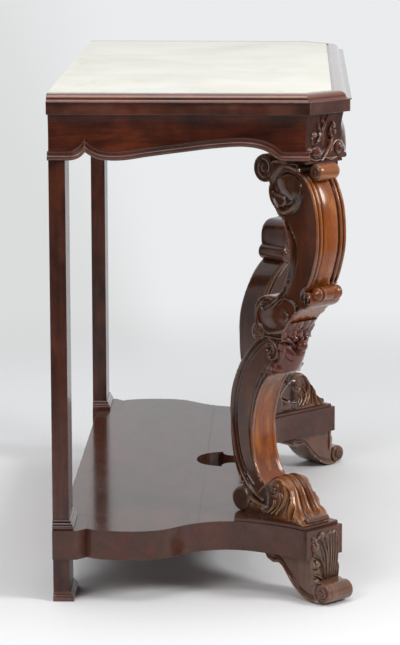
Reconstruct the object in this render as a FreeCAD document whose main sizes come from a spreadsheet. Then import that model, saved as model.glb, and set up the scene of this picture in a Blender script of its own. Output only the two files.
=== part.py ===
"""Pier table: a marble slab in a mahogany rim over a scalloped frieze.

Two scroll legs stand on the canted front corners, two flat posts at the back, and all
four rest on a serpentine shelf with its own feet.  X runs left to right, the front is -Y,
+Z is up, and the origin is on the floor under the middle of the table, toes included.
Millimetres.  The left-hand pieces are drawn; the right-hand ones are their mirror images.
"""
import FreeCAD, Part
import os
from math import sqrt

SIZES = (
    # overall
    ("overall_width", 1070, "over the rim, left to right"),
    ("overall_depth", 510, "over the rim, front to back"),
    ("overall_height", 875, "floor to marble"),
    ("cant", 70, "each front corner is cut back this far along both sides"),
    ("back_inset", 2, "carcase and shelf stop short of the rim's back"),
    # marble and rim
    ("slab_thick", 20, "marble"),
    ("slab_gap", 0.6, "marble to rim all round"),
    ("rim_width", 33, "rim moulding, outside edge to marble"),
    ("rim_height", 14, "rim moulding above the fascia"),
    ("fascia_height", 20, "flat band under the rim"),
    ("fascia_inset", 2.5, "band behind the rim's edge"),
    ("fascia_thick", 12, "band front to back"),
    # frieze
    ("frieze_height", 78, "fascia to the lowest line of the scalloped edge"),
    ("frieze_inset", 13.2, "top of the hollow face behind the rim's edge"),
    ("cove_depth", 5.6, "hollow of the frieze face"),
    ("apron_thick", 24, "apron boards and back rail"),
    ("arch_rise", 24, "highest point of the scalloped edge above its lowest"),
    ("bead_height", 16, "bead along the scalloped edge"),
    ("bead_proud", 5, "bead in front of the frieze's top line"),
    ("cap_drop", 6, "canted corners hang this far below the aprons"),
    ("cap_depth", 58, "corner cap, front to back along the leg"),
    ("batten_width", 40, "cross battens"),
    ("batten_height", 28, "cross battens"),
    ("batten_offset", 170, "cross battens, middle of table to batten"),
    ("block_size", 22, "glue blocks, both ways"),
    ("block_length", 60, "glue blocks"),
    # shelf
    ("shelf_top", 127, "floor to shelf"),
    ("shelf_thick", 51, "shelf and its arms"),
    ("shelf_side_inset", 2, "shelf inside the rim at the sides"),
    ("shelf_front_inset", 11, "shelf inside the rim at the front"),
    ("shelf_cant", 61, "shelf's front corners, cut back along both sides"),
    ("waist_depth", 71, "hollow of the shelf's sides"),
    ("board_joint", 249, "glue line of the two shelf boards, from the shelf's front"),
    ("arm_length", 141.4, "front arms, from the canted face to their joint"),
    ("board_back_inset", 10, "rear board in front of the end blocks' backs"),
    ("end_block_width", 108, "blocks under the rear posts"),
    ("end_block_depth", 58, "blocks under the rear posts"),
    # rear posts and feet
    ("post_width", 83, "rear posts"),
    ("post_depth", 28, "rear posts"),
    ("post_inset", 16, "rear posts inside the rim at the sides"),
    ("post_base_height", 17, "moulding round the foot of a post"),
    ("post_base_proud", 8, "moulding in front of the post"),
    ("foot_base_height", 16, "moulding round a rear foot"),
    # scroll legs
    ("leg_plate_thick", 6, "plate under each scroll leg"),
    ("leg_plate_margin", 3, "arm left showing round the plate"),
    ("leg_plate_back", 196, "plate's rear end behind the canted face"),
    ("leg_plate_rear_cut", 187, "plate's outer rear edge behind the shelf's front"),
    ("upper_scroll_width", 72, "upper scroll, across"),
    ("lower_scroll_width", 56, "lower scroll, across"),
    ("knuckle_width", 80, "carving where the scrolls meet, across"),
    ("console_width", 68, "acanthus foot of the leg, across its front"),
    ("console_heel_width", 84, "acanthus foot of the leg, across its heel"),
    ("top_roll_radius", 14, "bolster under the canted corner"),
    ("top_roll_width", 50, "bolster under the canted corner"),
    ("toe_width", 62, "front foot, across"),
    ("toe_reach", 42, "toe in front of the canted face"),
    ("toe_roll_radius", 17, "roll at the toe"),
    ("leaf_proud", 7, "carved leaves in front of their ground"),
    ("foot_leaf_width", 58, "leaf over the arm's end and the foot, at its shoulders"),
    ("foot_leaf_low_width", 48, "the same leaf at its foot"),
    ("corner_leaf_width", 54, "leaf on the canted frieze corner, at its shoulders"),
    ("corner_leaf_low_width", 62, "the same leaf at its foot"),
    ("arm_dowel_spread", 48, "between the two dowels of an arm's joint"),
    # dowels
    ("dowel_radius", 6, "dowels"),
    ("dowel_hole_gap", 0.1, "hole radius over dowel radius"),
    ("dowel_depth", 30, "dowel in each piece"),
)

NODES = []
UP = FreeCAD.Vector(0, 0, 1)
ROOT2 = sqrt(2.0)
LEG_DRAWN_BASE = 135.0   # the leg's outlines are drawn with their foot at this height
LEG_DRAWN_TOP = 757.0    # and their top at this one; they stretch to the room there is
ARCH_DRAWN_RISE = 24.0   # the scalloped edges are drawn with this rise, and swell with arch_rise
OVERRUN = 5.0            # how far a cutting pattern runs past what it shapes

doc = FreeCAD.newDocument("PierTable")
sheet = doc.addObject("Spreadsheet::Sheet", "Sizes")
for row, (alias, value, note) in enumerate(SIZES, start=1):
    sheet.set(f"A{row}", alias)
    sheet.set(f"B{row}", str(value))
    sheet.setAlias(f"B{row}", alias)
    sheet.set(f"C{row}", note)
doc.recompute()

# Places and heights that several pieces share.  The toes stand out past the rim's front,
# and the origin is midway between them and the rim's back.
HALF_WIDTH = sheet.overall_width / 2
TOE_OUT = ((sheet.toe_reach + sheet.toe_width / 2) / ROOT2
           - sheet.shelf_front_inset - sheet.shelf_cant / 2)
BACK = (sheet.overall_depth + TOE_OUT) / 2
FRONT = BACK - sheet.overall_depth
HEIGHT = sheet.overall_height
FASCIA_TOP = HEIGHT - sheet.rim_height
FRIEZE_TOP = FASCIA_TOP - sheet.fascia_height
FRIEZE_LOW = FRIEZE_TOP - sheet.frieze_height
CAP_LOW = FRIEZE_LOW - sheet.cap_drop
SLAB_LOW = HEIGHT - sheet.slab_thick
CARCASE_INSET = sheet.frieze_inset + sheet.apron_thick
SHELF_LOW = sheet.shelf_top - sheet.shelf_thick
LEG_BASE = sheet.shelf_top + sheet.leg_plate_thick

# The same heights as expressions, for pieces that are bound to the sheet directly.
BACK_CELLS = ("(Sizes.overall_depth + (Sizes.toe_reach + Sizes.toe_width / 2) / sqrt(2)"
              " - Sizes.shelf_front_inset - Sizes.shelf_cant / 2) / 2")
FRONT_CELLS = f"{BACK_CELLS} - Sizes.overall_depth"
FRIEZE_TOP_CELLS = "Sizes.overall_height - Sizes.rim_height - Sizes.fascia_height"
FRIEZE_LOW_CELLS = FRIEZE_TOP_CELLS + " - Sizes.frieze_height"
SHELF_LOW_CELLS = "Sizes.shelf_top - Sizes.shelf_thick"
CARCASE_BACK_CELLS = f"{BACK_CELLS} - Sizes.back_inset"
CARCASE_FRONT_CELLS = f"{FRONT_CELLS} + Sizes.frieze_inset + Sizes.apron_thick"
CARCASE_SIDE_CELLS = "Sizes.overall_width / 2 - Sizes.frieze_inset - Sizes.apron_thick"


def keep(piece):
    """Count a finished piece among the nodes that are written out."""
    NODES.append(piece)
    return piece


# ---------------------------------------------------------------- drawing helpers

class Outline:
    """A closed flat outline, drawn stretch by stretch like a cabinet maker's pattern."""

    def __init__(self, start):
        self.start = self.last = FreeCAD.Vector(*start, 0)
        self.stretches = []

    def line(self, *points):
        """Straight runs to each point in turn."""
        for point in points:
            end = FreeCAD.Vector(*point, 0)
            self.stretches.append(Part.LineSegment(self.last, end))
            self.last = end
        return self

    def curve(self, *points):
        """One smooth curve through the points."""
        through = [self.last] + [FreeCAD.Vector(*point, 0) for point in points]
        spline = Part.BSplineCurve()
        spline.interpolate(through)
        self.stretches.append(spline)
        self.last = through[-1]
        return self

    def arc(self, middle, end):
        """A circular arc to end by way of middle."""
        finish = FreeCAD.Vector(*end, 0)
        self.stretches.append(Part.Arc(self.last, FreeCAD.Vector(*middle, 0), finish))
        self.last = finish
        return self

    def close(self):
        """Go straight back to the start."""
        return self.line((self.start.x, self.start.y))

    def mirrored(self):
        """Repeat every stretch on the other side of x = 0, where the outline began and ended."""
        for stretch in list(self.stretches):
            twin = stretch.copy()
            twin.mirror(FreeCAD.Vector(), FreeCAD.Vector(0, 1, 0))
            self.stretches.append(twin)
        return self


def sketched(label, outline, placement):
    """A sketch of an outline, laid in its plane."""
    sketch = doc.addObject("Sketcher::SketchObject", label)
    sketch.addGeometry(outline.stretches, False)
    sketch.Placement = placement
    return sketch


def extruded(label, outline, placement, length, symmetric=False):
    """A solid of an outline, its length bound to the sheet."""
    piece = doc.addObject("Part::Extrusion", label)
    piece.Base = sketched(label + "_pattern", outline, placement)
    piece.DirMode = "Normal"
    piece.Solid = True
    piece.Symmetric = symmetric
    piece.setExpression("LengthFwd", length)
    return piece


def flat_at(height):
    """The placement of a plan drawn at a height."""
    return FreeCAD.Placement(FreeCAD.Vector(0, 0, height), FreeCAD.Rotation())


def upright(base, inward):
    """The placement of an upright section: its first axis points inward, its second up."""
    along = inward.cross(UP)
    return FreeCAD.Placement(base, FreeCAD.Rotation(inward, UP, along, "ZXY"))


def squared(label, size, corner_at):
    """A squared timber; its three sizes and its corner are expressions on the sheet."""
    piece = doc.addObject("Part::Box", label)
    for name, cells in zip(("Length", "Width", "Height"), size):
        piece.setExpression(name, cells)
    for axis, cells in zip("xyz", corner_at):
        piece.setExpression(f".Placement.Base.{axis}", cells)
    return piece


def cut(label, base, *tools):
    """One piece with others cut out of it."""
    tool = tools[0]
    if len(tools) > 1:
        tool = doc.addObject("Part::Compound", label + "_tools")
        tool.Links = list(tools)
    piece = doc.addObject("Part::Cut", label)
    piece.Base = base
    piece.Tool = tool
    return piece


def common(label, *shapes):
    """What several solids have in common."""
    piece = doc.addObject("Part::MultiCommon", label)
    piece.Shapes = list(shapes)
    return piece


def group(label, members):
    """Separate solids that share one node."""
    piece = doc.addObject("Part::Compound", label)
    piece.Links = list(members)
    return piece


def mirrored(source, label):
    """The right-hand twin of a left-hand piece."""
    piece = doc.addObject("Part::Mirroring", label)
    piece.Source = source
    piece.Normal = FreeCAD.Vector(1, 0, 0)
    return piece


def pair(source, stem):
    """Keep a left-hand piece and its right-hand twin under one stem."""
    source.Label = stem + "_left"
    keep(source)
    keep(mirrored(source, stem + "_right"))
    return source


# ---------------------------------------------------------------- the rim's outline

def corner(turn, inset):
    """Corner of the rim's outline moved inwards: 0 rear left, 1 and 2 the cant, 3 front right."""
    mitre = inset * (ROOT2 - 1)
    if turn == 0:
        return (-HALF_WIDTH + inset, BACK)
    if turn == 1:
        return (-HALF_WIDTH + inset, FRONT + sheet.cant + mitre)
    if turn == 2:
        return (-HALF_WIDTH + sheet.cant + mitre, FRONT + inset)
    return (HALF_WIDTH - sheet.cant - mitre, FRONT + inset)


def plan_inside(inset):
    """Plan of the top inside the rim's outline by an inset, square at the back."""
    outline = Outline((0, BACK)).line(corner(0, inset), corner(1, inset), corner(2, inset))
    return outline.line((0, corner(2, inset)[1])).mirrored()


INWARD = (FreeCAD.Vector(1, 0, 0), FreeCAD.Vector(1, 1, 0).normalize(), FreeCAD.Vector(0, 1, 0))
RUN_NAMES = ("left", "cant_left", "front")


def moulding_run(label, run, section):
    """A length of moulding on one side of the rim's outline, mitred at its ends.

    The section is drawn with its first axis from the rim's edge inwards and its second up.
    """
    beyond = 1.0
    deep = 80.0
    base = FreeCAD.Vector(*corner(run, 0), 0)
    stick = extruded(label + "_stick", section, upright(base, INWARD[run]), "Sizes.overall_width")
    stick.LengthRev = sheet.cant
    mitres = Outline(corner(run, -beyond))
    mitres.line(corner(run + 1, -beyond), corner(run + 1, deep), corner(run, deep)).close()
    block = extruded(label + "_mitres", mitres, flat_at(0), "Sizes.overall_height + 1")
    return common(label, stick, block)


def rim_section():
    """Ogee edge falling to a lip, with a rebate that sits over the fascia and the bed."""
    lip_height, lip_width, round_rise, flat_width = 4.0, 9.0, 3.0, 8.0
    inner = sheet.fascia_inset + sheet.fascia_thick
    outline = Outline((0, FASCIA_TOP)).line((0, FASCIA_TOP + lip_height))
    outline.line((lip_width, FASCIA_TOP + lip_height + 1))
    crown = sheet.rim_width - flat_width
    outline.curve((lip_width + 2, FASCIA_TOP + lip_height + round_rise),
                  (crown - 5, HEIGHT - 1.2), (crown, HEIGHT))
    outline.line((sheet.rim_width, HEIGHT), (sheet.rim_width, SLAB_LOW), (inner, SLAB_LOW))
    return outline.line((inner, FASCIA_TOP)).close()


def fascia_section():
    """A plain band behind the rim's edge."""
    front = sheet.fascia_inset
    back = front + sheet.fascia_thick
    return Outline((front, FRIEZE_TOP)).line((front, FASCIA_TOP), (back, FASCIA_TOP),
                                             (back, FRIEZE_TOP)).close()


def frieze_section(low):
    """A board with a shallow hollow face."""
    top_front = sheet.frieze_inset
    hollow = top_front + sheet.cove_depth
    low_front = top_front + sheet.cove_depth / 3
    outline = Outline((top_front, FRIEZE_TOP))
    outline.arc((hollow, (FRIEZE_TOP + FRIEZE_LOW) / 2), (low_front, low))
    return outline.line((CARCASE_INSET, low), (CARCASE_INSET, FRIEZE_TOP)).close()


# ---------------------------------------------------------------- marble, rim and fascia

def make_top():
    """Marble slab, its bed, and the rim and fascia round three sides."""
    slab_inset = sheet.rim_width + sheet.slab_gap
    keep(extruded("marble_top", plan_inside(slab_inset), flat_at(SLAB_LOW), "Sizes.slab_thick"))
    bed_inset = sheet.fascia_inset + sheet.fascia_thick
    bed_thick = "Sizes.rim_height + Sizes.fascia_height - Sizes.slab_thick"
    keep(extruded("marble_bed", plan_inside(bed_inset), flat_at(FRIEZE_TOP), bed_thick))

    for stem, section in (("rim", rim_section()), ("fascia", fascia_section())):
        for run, side in enumerate(RUN_NAMES):
            strip = moulding_run(f"{stem}_{side}", run, section)
            keep(strip)
            if side != "front":
                keep(mirrored(strip, f"{stem}_{side.replace('left', 'right')}"))


# ---------------------------------------------------------------- frieze

def side_edge(rise_to=0.0):
    """The aprons' scalloped lower edge from back to front, raised by rise_to.

    Returns (straight start, cusp curve, long curve, straight end) as points (y, z).
    """
    drawn_back, drawn_front = 255.0, -185.0
    front = FRONT + sheet.cant
    swell = sheet.arch_rise / ARCH_DRAWN_RISE

    def at(y, rise):
        share = (drawn_back - y) / (drawn_back - drawn_front)
        return (BACK + share * (front - BACK), FRIEZE_LOW + rise_to + rise * swell)

    start = (at(255, 0), at(216, 0))
    cusp = (at(205, 4), at(197, 9), at(191, 13.5))
    long = (at(182, 8), at(168, 2.5), at(145, 0), at(91, 6), at(20, 15.5), at(-35, 22), at(-72, 24),
            at(-105, 19), at(-122, 10), at(-136, 1), at(-146, 0))
    return start, cusp, long, at(-185 - 2 * sheet.cant, 0)


def side_pattern(low, high_edge):
    """Upright pattern of a side board: scalloped below, closed by high_edge points."""
    start, cusp, long, end = side_edge(low)
    outline = Outline(start[0]).line(start[1]).curve(*cusp).curve(*long).line(end)
    return outline.line(*high_edge).close()


def side_band():
    """The strip between the scalloped edge and the same edge a bead's height above it."""
    start, cusp, long, end = side_edge()
    outline = Outline(start[0]).line(start[1]).curve(*cusp).curve(*long).line(end)
    start_up, cusp_up, long_up, end_up = side_edge(sheet.bead_height)
    outline.line(end_up, long_up[-1]).curve(*reversed(long_up[:-1]), cusp_up[-1])
    outline.curve(*reversed(cusp_up[:-1]), start_up[1])
    return outline.line(start_up[0]).close()


def front_edge(rise_to=0.0):
    """The front apron's lower edge from its left end to the middle: a long arch, then a lobe.

    Returns (end, start of the arch, the arch, middle) as points (x, z).
    """
    reach = HALF_WIDTH - sheet.cant
    swell = sheet.arch_rise / ARCH_DRAWN_RISE

    def at(share, rise):
        return (-share * reach, FRIEZE_LOW + rise_to + rise * swell)

    arch = (at(0.87, 3), at(0.83, 14), at(0.76, 22), at(0.64, 24), at(0.40, 17), at(0.20, 4),
            at(0.10, 0))
    return at(1.0 + 2 * sheet.cant / reach, 0), at(0.90, 0), arch, at(0.0, 0)


def front_pattern(high):
    """Upright pattern of the front board."""
    end, start, arch, middle = front_edge()
    outline = Outline((0, high)).line((end[0], high), end, start).curve(*arch)
    return outline.line(middle).mirrored()


def front_band():
    """The strip along the front board's lower edge that the bead covers."""
    end, start, arch, middle = front_edge()
    end_up, start_up, arch_up, middle_up = front_edge(sheet.bead_height)
    outline = Outline(middle_up).line(arch_up[-1]).curve(*reversed(arch_up[:-1]), start_up)
    return outline.line(end_up, end, start).curve(*arch).line(middle).mirrored()


def bead_section(low):
    """Room for a bead: from in front of the frieze's face to well inside it."""
    front = sheet.frieze_inset - sheet.bead_proud
    back = sheet.frieze_inset + sheet.apron_thick / 2
    return Outline((front, low)).line((front, FRIEZE_TOP), (back, FRIEZE_TOP),
                                      (back, low)).close()


def make_frieze():
    """Aprons, beads and canted corners; returns the left corner cap, not yet bored."""
    across = FreeCAD.Placement(FreeCAD.Vector(-HALF_WIDTH, 0, 0), FreeCAD.Rotation(
        FreeCAD.Vector(0, 1, 0), UP, FreeCAD.Vector(1, 0, 0), "ZXY"))
    facing = FreeCAD.Placement(FreeCAD.Vector(0, 0, 0), FreeCAD.Rotation(
        FreeCAD.Vector(1, 0, 0), UP, FreeCAD.Vector(0, -1, 0), "ZXY"))
    high = FRIEZE_TOP + OVERRUN
    board_depth = f"Sizes.frieze_inset + Sizes.apron_thick + {OVERRUN}"
    front_reach = f"-({FRONT_CELLS})"

    # side boards stop at the carcase's back, a little inside the rim's
    back_trim = squared("apron_back_trim", ("Sizes.overall_width + 2", "20", "Sizes.overall_height"),
                        ("-Sizes.overall_width / 2 - 1", CARCASE_BACK_CELLS, "0"))
    end_y = side_edge()[3][0]
    side_run = moulding_run("apron_left_run", 0, frieze_section(FRIEZE_LOW))
    side_shape = extruded("apron_left_outline", side_pattern(0, ((end_y, high), (BACK, high))),
                          across, board_depth)
    apron_left = cut("apron_left", common("apron_left_shaped", side_run, side_shape), back_trim)
    pair(apron_left, "apron")

    front_run = moulding_run("apron_front_run", 2, frieze_section(FRIEZE_LOW))
    front_shape = extruded("apron_front_outline", front_pattern(high), facing, front_reach)
    apron_front = keep(common("apron_front", front_run, front_shape))

    # beads: the strip along each scalloped edge, seated on the hollow face
    side_bead_run = moulding_run("bead_left_run", 0, bead_section(FRIEZE_LOW))
    side_bead = common("bead_left_shaped", side_bead_run,
                       extruded("bead_left_outline", side_band(), across, board_depth))
    pair(cut("bead_left", side_bead, apron_left, back_trim), "bead")
    front_bead_run = moulding_run("bead_front_run", 2, bead_section(FRIEZE_LOW))
    front_bead = common("bead_front_shaped", front_bead_run,
                        extruded("bead_front_outline", front_band(), facing, front_reach))
    keep(cut("bead_front", front_bead, apron_front))

    # canted corner: the same hollow face, hanging a little lower to meet the leg
    pair(moulding_run("frieze_cant_left", 1, frieze_section(CAP_LOW)), "frieze_cant")

    # corner cap behind it, which the leg is dowelled to
    cap_depth = CARCASE_INSET + sheet.cap_depth
    cap = Outline(corner(1, CARCASE_INSET)).line(corner(2, CARCASE_INSET))
    wide = corner(2, cap_depth)
    tall = corner(1, cap_depth)
    cap.line((wide[0], corner(2, CARCASE_INSET)[1]), wide, tall)
    cap.line((corner(1, CARCASE_INSET)[0], tall[1])).close()
    return extruded("corner_cap_blank", cap, flat_at(CAP_LOW), "Sizes.frieze_height + Sizes.cap_drop")


def make_carcase_inside():
    """Cross battens and glue blocks; returns the back rail, not yet bored."""
    rail = squared("back_rail_blank",
                   (f"2 * ({CARCASE_SIDE_CELLS})", "Sizes.apron_thick", "Sizes.frieze_height"),
                   (f"-({CARCASE_SIDE_CELLS})", f"{CARCASE_BACK_CELLS} - Sizes.apron_thick",
                    FRIEZE_LOW_CELLS))
    inside_depth = ("Sizes.overall_depth - Sizes.frieze_inset - Sizes.back_inset"
                    " - 2 * Sizes.apron_thick")
    batten = squared("cross_batten_left", ("Sizes.batten_width", inside_depth, "Sizes.batten_height"),
                     ("-Sizes.batten_offset - Sizes.batten_width / 2",
                      CARCASE_FRONT_CELLS,
                      f"{FRIEZE_TOP_CELLS} - Sizes.batten_height"))
    pair(batten, "cross_batten")

    blocks = []
    block_low = f"{FRIEZE_TOP_CELLS} - Sizes.block_size"
    back_y = f"{CARCASE_BACK_CELLS} - Sizes.apron_thick - Sizes.block_size"
    for place, share in (("left", "-0.62"), ("middle", "0"), ("right", "0.62")):
        for side, y_cells in (("front", CARCASE_FRONT_CELLS), ("back", back_y)):
            blocks.append(squared(f"block_{side}_{place}",
                                  ("Sizes.block_length", "Sizes.block_size", "Sizes.block_size"),
                                  (f"{share} * Sizes.overall_width / 2 - Sizes.block_length / 2",
                                   y_cells, block_low)))
    for name, x_cells in (("block_side_left", f"-({CARCASE_SIDE_CELLS})"),
                          ("block_side_right", f"{CARCASE_SIDE_CELLS} - Sizes.block_size")):
        blocks.append(squared(name, ("Sizes.block_size", "Sizes.block_length", "Sizes.block_size"),
                              (x_cells, "0.12 * Sizes.overall_depth", block_low)))
    keep(group("glue_blocks", blocks))
    return rail


# ---------------------------------------------------------------- shelf

def shelf_plan():
    """Plan of the whole shelf: serpentine sides, diagonal front arms, keyhole in the front."""
    half = HALF_WIDTH - sheet.shelf_side_inset
    front = FRONT + sheet.shelf_front_inset
    back = BACK - sheet.back_inset
    notch_back = back - sheet.end_block_depth
    shoulder = front + sheet.shelf_cant
    chamfer = 17.0       # cuts off the end block's front corner
    arm_side = 100.0     # how far back, and how far in, an arm's inner side runs

    def side(share, depth):
        """Point on the serpentine: share of the way from the end block to the cant."""
        return (-half + depth * sheet.waist_depth, notch_back + share * (shoulder - notch_back))

    inner = half - sheet.shelf_cant - arm_side

    def brow(share, ahead):
        """Point on the front edge: share of the way out to the arm, ahead of the shelf's front."""
        return (-share * inner, front + ahead)

    def keyhole(reach, ahead):
        """Point of the keyhole, which keeps its size whatever the shelf's."""
        return (-reach, front + ahead)

    outline = Outline((0, back)).line((-half, back), (-half, notch_back + chamfer),
                                      (-half + chamfer, notch_back))
    outline.curve(side(0.08, 0.04), side(0.18, -0.02), side(0.26, 0.0), side(0.34, 0.14),
                  side(0.42, 0.50), side(0.51, 0.84), side(0.61, 1.0), side(0.70, 0.97),
                  side(0.81, 0.73), side(0.91, 0.42), side(1.0, 0.0))
    outline.line((-half + sheet.shelf_cant, front), brow(1.0, arm_side))
    outline.curve(brow(0.94, 119), brow(0.85, 136), brow(0.67, 144), brow(0.51, 140),
                  brow(0.34, 132), brow(0.215, 141), keyhole(48, 168), keyhole(31, 188),
                  keyhole(29, 198))
    outline.curve(keyhole(33, 211), keyhole(44, 218), keyhole(60, 219))
    outline.curve(keyhole(57, 228), keyhole(53, 238), keyhole(46, 249), keyhole(35, 259),
                  keyhole(20, 265.5), keyhole(0, 268))
    return outline.mirrored()


def make_shelf(leg_frame, arm_dowel_holes, post_dowel_holes, leg_dowel_holes):
    """The shelf, divided into the boards, blocks and arms it is glued up from."""
    deep = "Sizes.shelf_thick"
    whole = extruded("shelf_whole", shelf_plan(), flat_at(SHELF_LOW), deep)
    room_half = 130.0    # wider than an arm
    arm_room = doc.addObject("Part::Box", "arm_room")
    arm_room.setExpression("Length", "Sizes.arm_length")
    arm_room.Width = 2 * room_half
    arm_room.setExpression("Height", deep)
    arm_room.Placement = leg_frame.multiply(FreeCAD.Placement(
        FreeCAD.Vector(-sheet.arm_length, SHELF_LOW, room_half),
        FreeCAD.Rotation(FreeCAD.Vector(1, 0, 0), -90)))
    arm = cut("shelf_arm_left_cut", common("shelf_arm_left_blank", whole, arm_room),
              arm_dowel_holes, leg_dowel_holes)
    pair(arm, "shelf_arm")

    block_room = squared("end_block_room", ("Sizes.end_block_width", "Sizes.end_block_depth", deep),
                         ("-Sizes.overall_width / 2 + Sizes.shelf_side_inset",
                          f"{CARCASE_BACK_CELLS} - Sizes.end_block_depth", SHELF_LOW_CELLS))
    block_room_right = mirrored(block_room, "end_block_room_right")
    block = cut("shelf_end_block_left_cut", common("shelf_end_block_left_blank", whole, block_room),
                post_dowel_holes)
    pair(block, "shelf_end_block")

    joint_y = f"{FRONT_CELLS} + Sizes.shelf_front_inset + Sizes.board_joint"
    rear_room = squared("rear_board_room", ("2 * Sizes.overall_width", "Sizes.overall_depth", deep),
                        ("-Sizes.overall_width", joint_y, SHELF_LOW_CELLS))
    rear = common("shelf_rear_board_blank", whole, rear_room)
    back_strip = squared("rear_board_back_strip",
                         ("2 * Sizes.overall_width", "Sizes.overall_depth", deep),
                         ("-Sizes.overall_width", f"{CARCASE_BACK_CELLS} - Sizes.board_back_inset",
                          SHELF_LOW_CELLS))
    keep(cut("shelf_rear_board", rear, block_room, block_room_right, back_strip))
    # the keyhole parts the front board in two
    right_half = squared("front_board_right_room", ("Sizes.overall_width", "Sizes.overall_depth", deep),
                         ("0", FRONT_CELLS, SHELF_LOW_CELLS))
    pair(cut("shelf_front_board_left", whole, rear_room, arm_room, right_half, arm_dowel_holes),
         "shelf_front_board")


# ---------------------------------------------------------------- rear posts and feet

def make_rear(rail, post_dowel_holes):
    """Flat rear posts with a base moulding, and the feet under them."""
    post_x = "-Sizes.overall_width / 2 + Sizes.post_inset"
    post_y = f"{CARCASE_BACK_CELLS} - Sizes.post_depth"
    post = squared("rear_post_blank",
                   ("Sizes.post_width", "Sizes.post_depth", f"{FRIEZE_LOW_CELLS} - Sizes.shelf_top"),
                   (post_x, post_y, "Sizes.shelf_top"))
    pair(cut("rear_post_left", post, post_dowel_holes), "rear_post")

    foot = squared("rear_foot_blank", ("Sizes.post_width", "Sizes.post_depth", SHELF_LOW_CELLS),
                   (post_x, post_y, "0"))
    pair(cut("rear_foot_left", foot, post_dowel_holes), "rear_foot")

    wide = "Sizes.post_width + 2 * Sizes.post_base_proud"
    deep = "Sizes.post_depth + Sizes.post_base_proud"
    base_x = f"{post_x} - Sizes.post_base_proud"
    base_y = f"{post_y} - Sizes.post_base_proud"
    for stem, high, low, core in (("post_base", "Sizes.post_base_height", "Sizes.shelf_top", post),
                                  ("rear_foot_base", "Sizes.foot_base_height", "0", foot)):
        collar = squared(stem + "_blank", (wide, deep, high), (base_x, base_y, low))
        pair(cut(stem + "_left", collar, core), stem)
    keep(cut("back_rail", rail, post_dowel_holes,
             mirrored(post_dowel_holes, "post_dowel_holes_right")))


# ---------------------------------------------------------------- scroll legs

def leg(reach, height):
    """Point of a leg's outline: reach is outward from the canted face, height as drawn."""
    room = CAP_LOW - LEG_BASE
    return (reach, LEG_BASE + (height - LEG_DRAWN_BASE) * room / (LEG_DRAWN_TOP - LEG_DRAWN_BASE))


def legs(*points):
    """Several points of a leg's outline."""
    return [leg(reach, height) for reach, height in points]


def upper_scroll_outline():
    """Upper C: flat top under the cap, rolled heel, long bowed front, big volute below."""
    outline = Outline(leg(-94, 757)).line(leg(-36, 757), leg(-31, 742))
    outline.curve(*legs((-14, 731), (-2, 712), (7, 689), (12, 658), (13, 632), (11, 607),
                        (4, 581), (-4, 559), (-16, 541)))
    outline.curve(*legs((-3, 537), (0, 526), (-8, 515), (-24, 510)))
    outline.curve(*legs((-45, 492), (-64, 468), (-70, 450))).line(leg(-122, 450))
    outline.curve(*legs((-134, 465), (-138, 487), (-133, 510), (-118, 522), (-98, 524),
                        (-80, 528), (-63, 547), (-52, 583), (-50, 609), (-55, 630), (-66, 654),
                        (-84, 670), (-98, 687), (-102, 702), (-99, 717)))
    heel_radius = 24.0
    heel = leg(-117, 741)
    start = (heel[0] + 0.6 * heel_radius, heel[1] - 0.8 * heel_radius)
    finish = (heel[0] + 0.8 * heel_radius, heel[1] + 0.6 * heel_radius)
    outline.line(start).arc((heel[0] - heel_radius, heel[1]), finish)
    return outline.close()


def lower_scroll_outline():
    """Lower C, bowed backwards, its foot housed in the acanthus console."""
    outline = Outline(leg(-76, 450)).line(leg(-126, 450))
    outline.curve(*legs((-162, 422), (-191, 377), (-204, 320), (-204, 261), (-193, 212),
                        (-174, 180), (-149, 161), (-119, 151)))
    outline.line(leg(-108, 160), leg(-117, 188))
    outline.curve(*legs((-127, 199), (-145, 235), (-150, 285), (-141, 332), (-115, 378),
                        (-92, 398), (-76, 420), (-71, 438), (-76, 450)))
    return outline


def knuckle_outline():
    """Leaf cluster over the front of the joint between the two scrolls."""
    outline = Outline(leg(-50, 482))
    outline.curve(*legs((-64, 462), (-69, 438), (-75, 414), (-86, 395), (-98, 384)))
    outline.line(leg(-108, 390))
    return outline.curve(*legs((-106, 412), (-99, 436), (-88, 460), (-72, 477), (-50, 482)))


def console_outline():
    """Acanthus foot of the leg: heel roll behind, breast in front, small roll at the toe."""
    heel_radius = 23.0
    heel = (-168.0, LEG_BASE + heel_radius)
    outline = Outline((heel[0], LEG_BASE))
    outline.arc((heel[0] - heel_radius, heel[1]), (heel[0] + 0.28 * heel_radius,
                                                 heel[1] + 0.96 * heel_radius))
    outline.curve(*legs((-147, 163), (-128, 152), (-119, 152)))
    outline.curve(*legs((-124, 175), (-121, 194), (-104, 203), (-87, 197), (-72, 182), (-61, 161),
                        (-47, 143), (-30, 141), (-20, 139), (-15, 135)))
    return outline.close()


def foot_outline():
    """Bracket foot that sweeps down to a rolled toe on the floor."""
    radius = sheet.toe_roll_radius
    toe = (sheet.toe_reach - radius, radius + 3)
    outline = Outline((0, SHELF_LOW)).line((0, toe[1] + radius))
    outline.line((toe[0], toe[1] + radius)).arc((toe[0] + radius, toe[1]), (toe[0], toe[1] - radius))
    outline.line((10, 0), (0, 0))
    outline.curve((-19, 6), (-38, 18), (-57, 36), (-78, 55), (-97, 53), (-107, 58), (-112, SHELF_LOW))
    return outline.close()


def leaf_outline(half_top, half_low, low, high):
    """A leaf panel seen from the front: broad shoulders, narrower below."""
    tall = high - low
    outline = Outline((-half_low, low)).line((half_low, low))
    outline.curve((half_top * 0.95, low + 0.35 * tall), (half_top, low + 0.7 * tall),
                  (half_top * 0.75, low + 0.93 * tall), (0, high),
                  (-half_top * 0.75, low + 0.93 * tall), (-half_top, low + 0.7 * tall),
                  (-half_top * 0.95, low + 0.35 * tall), (-half_low, low))
    return outline


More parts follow.
